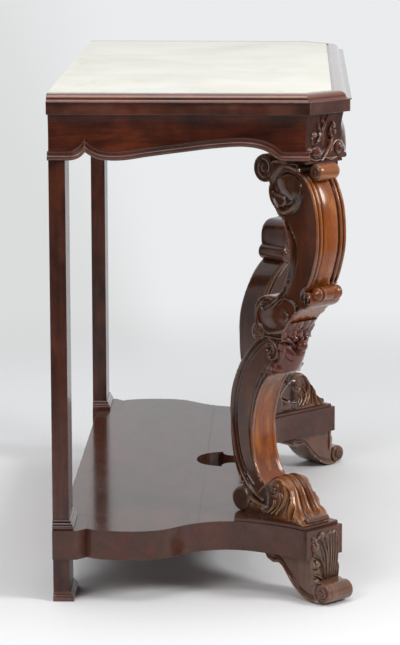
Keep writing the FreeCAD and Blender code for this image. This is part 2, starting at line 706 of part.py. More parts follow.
def dowels(stem, sites, frame):
    """Dowels and the slightly larger cylinders that bore their holes.

    A site is (reach, across, low or middle, length, lying down).
    """
    pins = []
    bores = []
    for number, (reach, across, height, length, lying) in enumerate(sites, start=1):
        for kind, extra, store in (("dowel", 0.0, pins), ("hole", sheet.dowel_hole_gap, bores)):
            rod = doc.addObject("Part::Cylinder", f"{stem}_{kind}_{number}")
            rod.setExpression("Radius", "Sizes.dowel_radius" +
                              (" + Sizes.dowel_hole_gap" if kind == "hole" else ""))
            rod.Height = length + 2 * extra
            turn = FreeCAD.Rotation(FreeCAD.Vector(0, 1, 0), 90) if lying else \
                FreeCAD.Rotation(FreeCAD.Vector(1, 0, 0), -90)
            start = FreeCAD.Vector(reach - (extra if lying else 0), height - (0 if lying else extra),
                                   across)
            rod.Placement = frame.multiply(FreeCAD.Placement(start, turn))
            store.append(rod)
    return group(stem + "_dowels_left", pins), group(stem + "_holes_left", bores)


def make_leg(frame, cap_blank, leg_holes):
    """Every piece of one scroll leg, from the cap down to the foot."""
    top_roll = doc.addObject("Part::Cylinder", "leg_top_roll_left")
    top_roll.setExpression("Radius", "Sizes.top_roll_radius")
    top_roll.setExpression("Height", "Sizes.top_roll_width")
    roll_reach = -11.0   # the bolster's middle, behind the shelf's canted face
    roll_at = FreeCAD.Vector(roll_reach, CAP_LOW - sheet.top_roll_radius, -sheet.top_roll_width / 2)
    top_roll.Placement = frame.multiply(FreeCAD.Placement(roll_at, FreeCAD.Rotation()))

    upper = extruded("leg_upper_scroll_blank", upper_scroll_outline(), frame,
                     "Sizes.upper_scroll_width", symmetric=True)
    lower = extruded("leg_lower_scroll_blank", lower_scroll_outline(), frame,
                     "Sizes.lower_scroll_width", symmetric=True)
    knuckle = extruded("leg_knuckle_leaf_blank", knuckle_outline(), frame,
                       "Sizes.knuckle_width", symmetric=True)
    console_side = extruded("leg_console_side", console_outline(), frame,
                            "2 * Sizes.console_heel_width", symmetric=True)
    front_half = sheet.console_width / 2
    heel_half = sheet.console_heel_width / 2
    flare = Outline((0, -front_half)).line((0, front_half), (-sheet.leg_plate_back, heel_half),
                                           (-sheet.leg_plate_back, -heel_half)).close()
    lying = FreeCAD.Placement(FreeCAD.Vector(), FreeCAD.Rotation(FreeCAD.Vector(1, 0, 0), -90))
    console = common("leg_console_blank", console_side, extruded(
        "leg_console_plan", flare, frame.multiply(lying), "Sizes.overall_height"))
    foot = extruded("front_foot_blank", foot_outline(), frame, "Sizes.toe_width", symmetric=True)

    pair(cut("leg_upper_scroll_left", upper, top_roll, cap_blank, leg_holes), "leg_upper_scroll")
    pair(cut("leg_lower_scroll_left", lower, leg_holes), "leg_lower_scroll")
    pair(cut("leg_knuckle_leaf_left", knuckle, upper, lower), "leg_knuckle_leaf")
    pair(cut("leg_console_left", console, lower, leg_holes), "leg_console")
    pair(cut("front_foot_left", foot, leg_holes), "front_foot")
    pair(top_roll, "leg_top_roll")

    # the plate follows the shelf's serpentine edge, a margin inside it
    inward = FreeCAD.Vector(1, -1, 0).normalize() * sheet.leg_plate_margin
    plate_plan = FreeCAD.Placement(inward + FreeCAD.Vector(0, 0, sheet.shelf_top), FreeCAD.Rotation())
    plate = extruded("leg_plate_plan", shelf_plan(), plate_plan, "Sizes.leg_plate_thick")
    inner_side = -sheet.shelf_cant / ROOT2 + sheet.leg_plate_margin
    outer_side = 200.0       # well past the shelf's serpentine edge
    front_end = -sheet.leg_plate_margin - 5.0
    trim = Outline((front_end, inner_side)).line(
        (front_end, outer_side), (-sheet.leg_plate_back, outer_side),
        (-sheet.leg_plate_back, inner_side)).close()
    flipped = FreeCAD.Placement(FreeCAD.Vector(0, sheet.shelf_top, 0), FreeCAD.Rotation(
        FreeCAD.Vector(1, 0, 0), FreeCAD.Vector(0, 0, 1), FreeCAD.Vector(0, -1, 0), "ZXY"))
    plate_room = extruded("leg_plate_room", trim, frame.multiply(flipped), "Sizes.leg_plate_thick")
    plate_room.Reversed = True
    ahead = squared("leg_plate_ahead", ("2 * Sizes.overall_width", "Sizes.leg_plate_rear_cut",
                                        "Sizes.overall_height"),
                    ("-2 * Sizes.overall_width", f"{FRONT_CELLS} + Sizes.shelf_front_inset", "0"))
    pair(cut("leg_plate_left", common("leg_plate_blank", plate, plate_room, ahead), leg_holes),
         "leg_plate")
    pair(cut("corner_cap_left", cap_blank, leg_holes), "corner_cap")

    # carved leaves on the canted faces: one over arm and foot, one on the frieze corner
    facing = FreeCAD.Placement(FreeCAD.Vector(0, 0, 0), FreeCAD.Rotation(
        FreeCAD.Vector(0, 0, -1), FreeCAD.Vector(0, 1, 0), FreeCAD.Vector(1, 0, 0), "ZXY"))
    leaf_low = 2 * sheet.toe_roll_radius + 3.5
    leaf_high = sheet.shelf_top - 7.0
    foot_leaf = extruded("foot_leaf_left", leaf_outline(
        sheet.foot_leaf_width / 2, sheet.foot_leaf_low_width / 2, leaf_low, leaf_high),
                         frame.multiply(facing), "Sizes.leaf_proud")
    pair(foot_leaf, "foot_leaf")
    # the frieze corner's hollow face, behind the shelf's canted face; the leaf starts inside it
    hollow_reach = sheet.leaf_proud + 15.0
    rooted = 17.0
    crest = facing.multiply(flat_at(-hollow_reach))
    sprig = extruded("corner_leaf_blank", leaf_outline(
        sheet.corner_leaf_width / 2, sheet.corner_leaf_low_width / 2, CAP_LOW + 2, FRIEZE_TOP - 9),
                     frame.multiply(crest), f"Sizes.leaf_proud + {rooted}")
    ground = [doc.getObject(name) for name in ("frieze_cant_left", "apron_left", "apron_front")]
    pair(cut("corner_leaf_left", sprig, *ground), "corner_leaf")


def check_document():
    """Stop with a message if any object failed or any node has no valid shape."""
    for item in doc.Objects:
        for bad in ("Invalid", "Error"):
            if bad in item.State:
                raise RuntimeError(f"{item.Label} is {item.State}")
    for piece in NODES:
        if piece.Shape.isNull() or not piece.Shape.isValid() or not piece.Shape.Solids:
            raise RuntimeError(f"{piece.Label} has no valid solid")


def main():
    """Build the table and write each node to parts/."""
    centre_reach = sheet.shelf_cant / 2
    face_centre = FreeCAD.Vector(-HALF_WIDTH + sheet.shelf_side_inset + centre_reach,
                                 FRONT + sheet.shelf_front_inset + centre_reach, 0)
    outward = FreeCAD.Vector(-1, -1, 0).normalize()
    leg_frame = FreeCAD.Placement(face_centre, FreeCAD.Rotation(
        outward, UP, outward.cross(UP), "ZXY"))

    depth = sheet.dowel_depth
    into_console = 16.0      # the leg's foot dowel passes the plate and ends in the console
    leg_sites = (
        (-62, 0, CAP_LOW - depth, 2 * depth, False),
        (-98, 0, leg(0, 450)[1] - depth, 2 * depth, False),
        (-128, 0, sheet.shelf_top - depth, 2 * depth + sheet.leg_plate_thick + into_console,
         False),
        (-30, 0, SHELF_LOW - depth, 2 * depth, False),
    )
    arm_sites = tuple((-sheet.arm_length - depth, across, SHELF_LOW + sheet.shelf_thick / 2,
                       2 * depth, True)
                      for across in (-sheet.arm_dowel_spread / 2, sheet.arm_dowel_spread / 2))
    leg_pins, leg_holes = dowels("leg", leg_sites, leg_frame)
    arm_pins, arm_holes = dowels("arm", arm_sites, leg_frame)
    post_frame = FreeCAD.Placement(
        FreeCAD.Vector(-HALF_WIDTH + sheet.post_inset + sheet.post_width / 2,
                       BACK - sheet.back_inset - sheet.apron_thick / 2, 0),
        FreeCAD.Rotation(FreeCAD.Vector(1, 0, 0), UP, FreeCAD.Vector(0, -1, 0), "ZXY"))
    post_sites = (
        (0, 0, FRIEZE_LOW - depth, 2 * depth, False),
        (0, 0, SHELF_LOW - depth, 2 * depth + sheet.shelf_thick, False),
    )
    post_pins, post_holes = dowels("post", post_sites, post_frame)

    make_top()
    cap_blank = make_frieze()
    rail = make_carcase_inside()
    make_shelf(leg_frame, arm_holes, post_holes, leg_holes)
    make_rear(rail, post_holes)
    make_leg(leg_frame, cap_blank, leg_holes)
    left_pins = group("dowels_left", [leg_pins, arm_pins, post_pins])
    keep(group("dowels", [left_pins, mirrored(left_pins, "dowels_right")]))

    doc.recompute()
    check_document()
    os.makedirs("parts", exist_ok=True)
    for piece in NODES:
        piece.Shape.exportStep(f"parts/{piece.Label}.step")
        print(piece.Label, len(piece.Shape.Solids), round(piece.Shape.Volume / 1000), "cm3")
    print(len(NODES), "nodes")


main()
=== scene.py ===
"""Looks of a pier table: carved mahogany under a loose marble slab.

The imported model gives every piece's place and size.  Flat timbers are copies of it with
softened edges; mouldings are profiles carried along the table's plan; the scroll legs are
carved plates, rolls and knobs worked out in the leg's own axes.  Lengths inside the classes
are millimetres and become metres when a mesh is made.
"""

import logging
import math
from dataclasses import dataclass, field, replace
from enum import Enum
from typing import Callable, Sequence

import bmesh
import bpy
import numpy as np
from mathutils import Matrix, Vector
from mathutils.geometry import delaunay_2d_cdt


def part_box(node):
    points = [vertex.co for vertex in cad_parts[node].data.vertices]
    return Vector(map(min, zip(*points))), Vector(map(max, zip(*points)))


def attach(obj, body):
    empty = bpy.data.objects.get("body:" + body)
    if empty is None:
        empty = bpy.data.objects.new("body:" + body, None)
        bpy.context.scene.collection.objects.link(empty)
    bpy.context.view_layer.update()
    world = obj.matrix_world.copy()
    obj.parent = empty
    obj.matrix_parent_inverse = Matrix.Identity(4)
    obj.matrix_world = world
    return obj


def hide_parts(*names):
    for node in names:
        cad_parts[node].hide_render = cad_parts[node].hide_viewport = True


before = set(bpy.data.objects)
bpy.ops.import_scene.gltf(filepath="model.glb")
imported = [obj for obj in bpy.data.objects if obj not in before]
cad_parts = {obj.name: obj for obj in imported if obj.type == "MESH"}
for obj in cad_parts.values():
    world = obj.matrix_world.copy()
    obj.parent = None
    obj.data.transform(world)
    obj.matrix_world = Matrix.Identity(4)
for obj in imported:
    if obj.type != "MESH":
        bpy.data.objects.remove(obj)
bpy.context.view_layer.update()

Array = np.ndarray
MM = 0.001
LOG = logging.getLogger("pier_table")
BODY = "carcase"
SIDES = ("left", "right")

WELD = 0.02  # points nearer than this are one
LINE_STEPS = 24  # cubic steps between two given points of a smooth line
STROKE_POINTS = 64  # points along the middle of a carved stroke
ROW_STEP = 0.866  # distance between staggered rows, as a share of their pitch
CLEARANCE = 0.55  # gap kept to an outline when it is filled, as a share of the pitch
EASING_ROUNDS = 12  # times that an outline is smoothed
CORNER_BEND = 0.35  # sine of the bend from which a corner stays put
LEAST_GAP = 0.35  # a smoothed point nearer than this to the next is left out
RELIEF_PITCH = 1.15  # spacing of the points of the thin carved pieces
CREASE = 35.0  # degrees


def read(items: bpy.types.bpy_prop_collection, label: str, width: int,
         kind: type = float) -> Array:
    """A property of every item of a mesh.

    Args:
        items: its vertices, edges or the like.
        label: the property.
        width: how many numbers each item has.
        kind: their type.

    Returns:
        An array (n, width).
    """
    values = np.empty(len(items) * width, kind)
    items.foreach_get(label, values)
    return values.reshape(-1, width)


def points_of(node: str) -> Array:
    """Every mesh point of a node (n, 3), in millimetres."""
    return read(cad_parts[node].data.vertices, "co", 3) / MM


def in_mm(node: str) -> tuple[Array, Array]:
    """Lowest and highest corner of a node, in millimetres.

    Args:
        node: the node's name.

    Returns:
        The two corners.
    """
    low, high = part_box(node)
    return np.array(low) / MM, np.array(high) / MM


# ------------------------------------------------------------------ curves and surfaces

def smooth_line(points: Sequence[Sequence[float]], count: int) -> Array:
    """A smooth line through given points, evenly divided.

    Catmull-Rom: between two points the line is the cubic whose slope at each point is half
    the step from the point before to the point after.  It is then divided by arc length.

    Args:
        points: at least two points of any dimension.
        count: how many points to return.

    Returns:
        An array of count points.
    """
    given = np.asarray(points, float)
    padded = np.vstack([2 * given[0] - given[1], given, 2 * given[-1] - given[-2]])
    share = np.linspace(0, 1, LINE_STEPS, endpoint=False)[None, :, None]
    p0, p1, p2, p3 = (padded[i:len(given) - 1 + i, None, :] for i in range(4))
    line = 0.5 * (2 * p1 + (p2 - p0) * share + (2 * p0 - 5 * p1 + 4 * p2 - p3) * share ** 2
                  + (3 * p1 - p0 - 3 * p2 + p3) * share ** 3)
    return divided(np.vstack([line.reshape(-1, given.shape[1]), given[-1:]]), count)


def divided(line: Array, count: int) -> Array:
    """The same line with evenly spaced points, by arc length."""
    steps = np.linalg.norm(np.diff(line, axis=0), axis=1)
    along = np.concatenate([[0.0], np.cumsum(steps)])
    wanted = np.linspace(0, along[-1], count)
    return np.stack([np.interp(wanted, along, column) for column in line.T], axis=1)


def smoothstep(low: float, high: float, value: Array) -> Array:
    """0 below low, 1 above high, and 3t^2 - 2t^3 between."""
    share = np.clip((value - low) / (high - low), 0, 1)
    return share * share * (3 - 2 * share)


def unit(vectors: Array) -> Array:
    """Vectors scaled to length one."""
    return vectors / np.maximum(np.linalg.norm(vectors, axis=-1, keepdims=True), 1e-9)


def grid_quads(rows: int, columns: int, wrap: bool) -> Array:
    """Quads of a grid of points numbered row by row.

    Args:
        rows: number of rows.
        columns: number of points in a row.
        wrap: whether the last point of a row joins the first.

    Returns:
        An array of four point numbers for each quad.
    """
    first = np.arange(rows - 1)[:, None] * columns
    here = np.arange(columns if wrap else columns - 1)
    there = (here + 1) % columns
    return np.stack([first + here, first + there, first + columns + there,
                     first + columns + here], axis=-1).reshape(-1, 4)


@dataclass
class Draft:
    """Points and faces of a piece before they become a mesh.

    grain holds, for every point, a place in the timber with the grain along its first axis;
    bare is 1 where the polish is thin.
    """

    points: list[Array] = field(default_factory=list)
    faces: list[Array] = field(default_factory=list)
    bare: list[Array] = field(default_factory=list)
    grain: list[Array] = field(default_factory=list)
    total: int = 0

    def add(self, points: Array, faces: Sequence[Array], bare: Array | float = 0.0,
            grain: Array | None = None) -> "Draft":
        """Add a closed surface, turned so that its faces look outwards.

        Args:
            points: its points, in millimetres.
            faces: arrays of point numbers, one array for each number of corners.
            bare: thin polish at each point.
            grain: place in the timber at each point; the point itself if left out.

        Returns:
            The draft.
        """
        count = len(points)
        faces = [np.asarray(some) for some in faces if len(some)]
        if volume(points, faces) < 0:
            faces = [some[:, ::-1] for some in faces]
        self.points.append(points)
        self.faces += [some + self.total for some in faces]
        self.bare.append(np.broadcast_to(np.asarray(bare, float), (count,)))
        self.grain.append(points if grain is None else grain)
        self.total += count
        return self

    def join(self, other: "Draft") -> "Draft":
        """Add everything in another draft."""
        self.points += other.points
        self.faces += [some + self.total for some in other.faces]
        self.bare += other.bare
        self.grain += other.grain
        self.total += other.total
        return self

    def placed(self, place: Callable[[Array], Array], turned_over: bool = False) -> "Draft":
        """A copy with every point moved.

        Args:
            place: takes and returns an array of points.
            turned_over: whether the move mirrors the piece, so that its faces are reversed.

        Returns:
            The moved copy.
        """
        faces = [some[:, ::-1] for some in self.faces] if turned_over else list(self.faces)
        return Draft([place(some) for some in self.points], faces, list(self.bare),
                     list(self.grain), self.total)

    def mesh(self, name: str, crease: float) -> bpy.types.Mesh:
        """The finished mesh, in metres, with its attributes.

        Args:
            name: the mesh's name.
            crease: edges that turn by more than this many degrees stay sharp.

        Returns:
            The mesh.
        """
        points = np.vstack(self.points) * MM
        made = bpy.data.meshes.new(name)
        loops = np.concatenate([some.ravel() for some in self.faces])
        sizes = np.concatenate([np.full(len(some), some.shape[1]) for some in self.faces])
        made.vertices.add(len(points))
        made.vertices.foreach_set("co", points.astype(np.float32).ravel())
        made.loops.add(len(loops))
        made.loops.foreach_set("vertex_index", loops.astype(np.int32))
        made.polygons.add(len(sizes))
        starts = np.concatenate([[0], np.cumsum(sizes)[:-1]])
        made.polygons.foreach_set("loop_start", starts.astype(np.int32))
        made.update(calc_edges=True)
        made.validate()
        # wear: how far each point stands out; it brightens ridges with worn edges and a painted
        # highlight, and darkens hollows with waxy dirt and painted shade
        for label, values in (("wear", standing_out(made)), ("bare", np.concatenate(self.bare))):
            layer = made.attributes.new(label, "FLOAT", "POINT")
            layer.data.foreach_set("value", values.astype(np.float32))
        grain = made.attributes.new("grain", "FLOAT_VECTOR", "POINT")
        grain.data.foreach_set("vector", (np.vstack(self.grain) * MM).astype(np.float32).ravel())
        shade(made, crease)
        return made


def standing_out(mesh: bpy.types.Mesh, rounds: int = 14, reach: float = 0.9,
                 nearness: float = 6.0) -> Array:
    """How far each point stands out of the smoothed surface round it, from -1 to 1.

    The surface is smoothed by moving each point halfway to the mean of its neighbours, each
    counting exp(-distance^2 / nearness); ridges come out above 0 and hollows below.

    Args:
        mesh: the mesh, in metres.
        rounds: how many times it is smoothed.
        reach: the distance in millimetres that counts as 1.
        nearness: the square of the distance at which a neighbour counts 1/e.

    Returns:
        A value for each point.
    """
    count = len(mesh.vertices)
    points = read(mesh.vertices, "co", 3) / MM
    normals = read(mesh.vertex_normals, "vector", 3)
    edges = read(mesh.edges, "vertices", 2, int).T
    near, far = np.hstack([edges, edges[::-1]])
    pull = np.exp(-((points[near] - points[far]) ** 2).sum(axis=1) / nearness) + 1e-6
    weight = np.bincount(near, pull, count)[:, None] + 1e-12
    soft = points
    for _ in range(rounds):
        mean = np.stack([np.bincount(near, pull * column[far], count) for column in soft.T], axis=1)
        soft = (soft + mean / weight) / 2
    return np.clip(((points - soft) * normals).sum(axis=1) / reach, -1, 1)


def volume(points: Array, faces: Sequence[Array]) -> float:
    """Volume in a closed surface, below 0 if its faces look inwards.

    Each face is a fan of triangles, and each triangle adds a . (b x c) / 6.
    """
    total = 0.0
    for some in faces:
        for turn in range(1, some.shape[1] - 1):
            first, second, third = (points[some[:, i]] for i in (0, turn, turn + 1))
            total += float((first * np.cross(second, third)).sum()) / 6
    return total


def shade(mesh: bpy.types.Mesh, crease: float) -> None:
    """Smooth shading, with edges sharper than an angle in degrees kept sharp."""
    mesh.polygons.foreach_set("use_smooth", np.ones(len(mesh.polygons), bool))
    mesh.set_sharp_from_angle(angle=math.radians(crease))


def tube(loops: Array) -> tuple[Array, list[Array]]:
    """A closed skin over a row of loops, each end drawn to its middle.

    Args:
        loops: array (stations, points round, 3); the points go round anticlockwise seen
            from the far end.

    Returns:
        Points and faces.
    """
    stations, around, _ = loops.shape
    points = np.vstack([loops.reshape(-1, 3), loops[:1].mean(axis=1), loops[-1:].mean(axis=1)])
    here = np.arange(around)
    there = (here + 1) % around
    near = np.stack([np.full(around, stations * around), there, here], axis=1)
    last = (stations - 1) * around
    far = np.stack([np.full(around, stations * around + 1), last + here, last + there], axis=1)
    return points, [grid_quads(stations, around, True), near, far]


def revolved(across: Array, radii: Array, turns: int, dent: Callable[[Array, Array], Array]
             | None = None) -> tuple[Array, list[Array]]:
    """A turned piece about the second axis, closed where its radius is nothing.

    A point is (r cos a, offset, r sin a), with the offset moved inwards by the dent.

    Args:
        across: places along the axis.
        radii: the radius at each place.
        turns: points round.
        dent: takes radius and angle, and gives how far an end face is sunk there.

    Returns:
        Points and faces.
    """
    angle = np.linspace(0, 2 * math.pi, turns, endpoint=False)
    radius = np.maximum(radii, 0.01)[:, None] * np.ones(turns)
    offset = across[:, None] * np.ones(turns)
    if dent is not None:
        end = np.abs(np.gradient(radii)) > np.abs(np.gradient(across))
        offset = offset - np.sign(offset) * dent(radius, angle[None, :]) * end[:, None]
    return tube(np.stack([radius * np.cos(angle), offset, radius * np.sin(angle)], axis=-1))


# ------------------------------------------------------------------ carving

@dataclass(frozen=True)
class Stroke:
    """A raised or sunk line of carving on a flat ground.

    Its section is height * (1 - (distance / half width)^2), and both shrink towards an end
    by that end's taper.
    """

    points: tuple[tuple[float, float], ...]
    width: float
    height: float
    start: float = 1.0
    finish: float = 1.0

    def relief(self, places: Array) -> Array:
        """Height of the stroke at flat places (n, 2), from their distance to its segments."""
        line = smooth_line(self.points, STROKE_POINTS)
        nearest = np.linalg.norm(places[:, None, :] - line[None, :, :], axis=2).argmin(axis=1)
        gap, share = np.full(len(places), np.inf), np.zeros(len(places))
        for before in (1, 0):
            first = np.clip(nearest - before, 0, len(line) - 2)
            side = line[first + 1] - line[first]
            away = places - line[first]
            part = np.clip((away * side).sum(axis=1) / (side ** 2).sum(axis=1), 0, 1)
            reach = np.linalg.norm(away - part[:, None] * side, axis=1)
            share = np.where(reach < gap, (first + part) / (len(line) - 1), share)
            gap = np.minimum(gap, reach)
        swell = self.start + (1 - self.start) * np.minimum(1, share / 0.5)
        swell = swell * (self.finish + (1 - self.finish) * np.minimum(1, (1 - share) / 0.5))
        half = self.width / 2 * swell
        return self.height * np.sqrt(swell) * np.clip(1 - (gap / half) ** 2, 0, 1)


@dataclass(frozen=True)
class Boss:
    """A round or oval swelling, or a hollow if its height is negative."""

    centre: tuple[float, float]
    radii: tuple[float, float]
    height: float
    tilt: float = 0.0
    power: float = 0.5

    def relief(self, places: Array) -> Array:
        """Height at flat places: height * (1 - r^2)^power, r the share of the way out."""
        turn = math.radians(self.tilt)
        step = places - np.array(self.centre)
        along = (step[:, 0] * math.cos(turn) + step[:, 1] * math.sin(turn)) / self.radii[0]
        aside = (-step[:, 0] * math.sin(turn) + step[:, 1] * math.cos(turn)) / self.radii[1]
        return self.height * np.clip(1 - along ** 2 - aside ** 2, 0, 1) ** self.power


def winding(centre: tuple[float, float], outer: float, inner: float, turns: float,
            start: float) -> tuple[tuple[float, float], ...]:
    """Points of an anticlockwise spiral, whose radius changes evenly with the angle.

    Args:
        centre: its middle.
        outer: radius at its start.
        inner: radius at its end.
        turns: how many times it goes round.
        start: angle of its start, in degrees.

    Returns:
        The points, from the rim in.
    """
    share = np.linspace(0, 1, 40)
    angle = math.radians(start) + share * turns * 2 * math.pi
    radius = outer + (inner - outer) * share
    spots = np.array(centre) + np.stack([radius * np.cos(angle), radius * np.sin(angle)], axis=1)
    return tuple(map(tuple, spots))


Carving = Stroke | Boss


def carved(places: Array, cuts: Sequence[Carving]) -> Array:
    """Relief of several cuts together: the highest ridge plus the deepest hollow."""
    reliefs = np.stack([cut.relief(places) for cut in cuts])
    return np.maximum(reliefs.max(axis=0), 0) + np.minimum(reliefs.min(axis=0), 0)


def inside(places: Array, outline: Array) -> Array:
    """Whether flat places lie inside a closed outline: an odd number of crossings."""
    ahead = np.roll(outline, -1, axis=0)
    low, high = outline[:, 1][None, :], ahead[:, 1][None, :]
    height = places[:, 1][:, None]
    spans = (low > height) != (high > height)
    rise = np.where(np.abs(high - low) < 1e-12, 1e-12, high - low)
    across = (ahead[:, 0] - outline[:, 0])[None, :]
    meets = outline[:, 0][None, :] + (height - low) / rise * across
    return (spans & (places[:, 0][:, None] < meets)).sum(axis=1) % 2 == 1


def edge_distance(places: Array, outline: Array) -> Array:
    """Distance from flat places to the nearest of an outline's closely spaced points."""
    return np.linalg.norm(places[:, None, :] - outline[None, :, :], axis=2).min(axis=1)


def filled(outline: Array, pitch: float) -> tuple[Array, Array]:
    """Triangles over a closed outline, with a point about every pitch inside it.

    The inner points lie on staggered rows; a constrained Delaunay mesh joins them.  Where an
    outline crosses itself, the crossing is drawn to its nearest point.

    Args:
        outline: points (n, 2), anticlockwise.
        pitch: spacing of the inner points.

    Returns:
        Inner points, and triangles that number the outline's points first.
    """
    low, high = outline.min(axis=0), outline.max(axis=0)
    rows = np.arange(low[1], high[1], pitch * ROW_STEP)
    columns = np.arange(low[0], high[0], pitch)
    spots = np.stack(np.meshgrid(columns, rows), axis=-1)
    spots[1::2, :, 0] += pitch / 2
    spots = spots.reshape(-1, 2)
    spots = spots[inside(spots, outline)]
    spots = spots[edge_distance(spots, outline) > CLEARANCE * pitch]
    given = [Vector(spot) for spot in np.vstack([outline, spots])]
    count = len(outline)
    rim = [(i, (i + 1) % count) for i in range(count)]
    found = delaunay_2d_cdt(given, rim, [list(range(count))], 1, 1e-6)
    names = np.array([origin[0] if origin else -1 for origin in found[3]])
    for lost in np.flatnonzero(names < 0):
        away = outline - np.array(found[0][lost])
        names[lost] = int(np.argmin((away ** 2).sum(axis=1)))
    triangles = names[np.array(found[2])]
    whole = (triangles != np.roll(triangles, 1, axis=1)).all(axis=1)
    return spots, triangles[whole]


def nowhere(places: Array, *_: Array | float) -> Array:
    """No thin polish and no sunk edge at any place."""
    return np.zeros(len(places))


@dataclass
class Plate:
    """A sawn plate with carved sides and a shaped edge, drawn in (reach, across, height).

    The edge is a grid of outline points by places across; each side is a filled outline
    whose points are raised or sunk by its carving.

    Attributes:
        outline: points (n, 2), anticlockwise.
        half: half the thickness.
        cuts: carving of the sides.
        ground: how deep the sides are sunk behind their border.
        border: how wide that border is.
        pitch: spacing of the sides' points.
        courses: rows of points across the edge.
        soft: how far the arris is eased.
        edge: gives how deep the edge is sunk, from outline, normals and share across.
        bare: gives thin polish, from places and normals.
        side_bare: share of it that the sides get.
        dark_depth: depths of the edge between which thin polish gives way to dark grooves, a
            painted shade.
        width: gives half the thickness at flat places; half if left out.
    """

    outline: Array
    half: float
    cuts: Sequence[Carving]
    ground: float
    border: float
    pitch: float
    courses: int
    soft: float = 1.2
    edge: Callable[[Array, Array, float], Array] = nowhere
    bare: Callable[[Array, Array], Array] = nowhere
    side_bare: float = 0.0
    dark_depth: tuple[float, float] = (90.0, 99.0)
    width: Callable[[Array], Array] | None = None

    def normals(self) -> Array:
        """Outward directions along the anticlockwise outline."""
        along = unit(np.roll(self.outline, -1, axis=0) - np.roll(self.outline, 1, axis=0))
        return np.stack([along[:, 1], -along[:, 0]], axis=1)

    def draft(self) -> Draft:
        """The plate's points and faces.

        Side height is ground sunk behind a border, plus the carving, with the arris eased by
        soft * (1 - distance / soft)^2.  Edge points move in along the outline's normal.
        """
        count = len(self.outline)
        shares = np.linspace(-1, 1, self.courses)
        normals = self.normals()
        sunk = np.stack([self.edge(self.outline, normals, share) for share in shares])
        rim = self.outline[None] - normals[None] * sunk[..., None]
        border = rim[-1]
        half_rim = self.half_at(border) - self.soft
        across = shares[:, None] * half_rim[None, :]
        across = across + shares[:, None] ** 9 * carved(border, self.cuts)[None, :]
        wall = np.stack([rim[..., 0], across, rim[..., 1]], axis=-1).reshape(-1, 3)
        # Deep grooves of the edge lose their thin polish and stay dark: painted shade.
        kept = 1 - smoothstep(*self.dark_depth, sunk)
        wall_bare = (self.bare(self.outline, normals)[None] * kept).reshape(-1)

        spots, triangles = filled(border, self.pitch)
        margin = edge_distance(spots, border)
        height = -self.ground * smoothstep(self.border * 0.7, self.border, margin)
        height += carved(spots, self.cuts)
        eased = self.soft * np.clip(1 - margin / self.soft, 0, 1) ** 2
        half_spot = self.half_at(spots) + height - eased
        inner = len(wall)
        many = len(spots)
        far = np.stack([spots[:, 0], half_spot, spots[:, 1]], axis=1)
        near = far * np.array([1, -1, 1])
        last = (self.courses - 1) * count
        top = np.where(triangles < count, triangles + last, triangles - count + inner)
        low = np.where(triangles < count, triangles, triangles - count + inner + many)
        points = np.vstack([wall, far, near])
        faces = [grid_quads(self.courses, count, True)[:, ::-1], top[:, ::-1], low]
        side = self.side_bare * self.bare(spots, np.tile([1.0, 0.0], (many, 1)))
        bare = np.concatenate([wall_bare, side, side])
        return Draft().add(points, faces, bare, points[:, [2, 0, 1]])

    def half_at(self, places: Array) -> Array:
        """Half the plate's thickness at flat places."""
        if self.width is None:
            return np.full(len(places), self.half)
        return self.width(places)


def side_outline(node: str, across: float, axes: "LegAxes", spacing: float = 1.5) -> Array:
    """The outline of a node's flat side, in the leg's reach and height.

    The side's triangles are those whose points all lie at the given place across; their
    unshared edges chain into the outline, which is then eased.

    Args:
        node: a left-hand node of the leg.
        across: where its side lies.
        axes: the leg's axes.
        spacing: the most between two points.

    Returns:
        Points (n, 2), anticlockwise.
    """
    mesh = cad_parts[node].data
    local = axes.local(points_of(node))
    keys, names = np.unique(np.round(local / WELD).astype(int), axis=0, return_inverse=True)
    names = names.ravel()
    flat = np.abs(keys[:, 1] * WELD - across) < 5 * WELD
    mesh.calc_loop_triangles()
    triangles = names[read(mesh.loop_triangles, "vertices", 3, int)]
    triangles = triangles[flat[triangles].all(axis=1)]
    ways = np.vstack([triangles[:, [0, 1]], triangles[:, [1, 2]], triangles[:, [2, 0]]])
    known = {tuple(way) for way in ways}
    onward = {a: b for a, b in ways if (b, a) not in known}
    start = max(onward, key=lambda name: keys[name, 2])
    chain = [start]
    while onward[chain[-1]] != start:
        chain.append(onward[chain[-1]])
    corners = keys[chain][:, [0, 2]] * WELD
    if signed_area(corners) < 0:
        corners = corners[::-1]
    return eased(corners, spacing)


def signed_area(outline: Array) -> float:
    """Area of a closed outline, above 0 if it runs anticlockwise."""
    ahead = np.roll(outline, -1, axis=0)
    return float((outline[:, 0] * ahead[:, 1] - ahead[:, 0] * outline[:, 1]).sum() / 2)


def eased(corners: Array, spacing: float) -> Array:
    """A closed outline divided evenly, each point drawn halfway to its neighbours' middle.

    Args:
        corners: its points (n, 2).
        spacing: the most between two points.

    Returns:
        The outline; the corners that bend sharply have not moved.
    """
    ahead = np.roll(corners, -1, axis=0)
    before = np.roll(corners, 1, axis=0)
    turn = np.abs(np.cross(unit(corners - before), unit(ahead - corners)))
    parts, firm = [], []
    for here, there, bend in zip(corners, ahead, turn):
        steps = max(1, int(np.ceil(np.linalg.norm(there - here) / spacing)))
        share = np.arange(steps)[:, None] / steps
        parts.append(here + share * (there - here))
        firm.append(np.arange(steps) == (0 if bend > CORNER_BEND else -1))
    line, held = np.vstack(parts), np.concatenate(firm)[:, None]
    for _ in range(EASING_ROUNDS):
        middle = (np.roll(line, 1, axis=0) + np.roll(line, -1, axis=0)) / 2
        line = np.where(held, line, line + 0.5 * (middle - line))
    gap = np.linalg.norm(np.roll(line, -1, axis=0) - line, axis=1)
    return line[(gap > LEAST_GAP) | held[:, 0]]


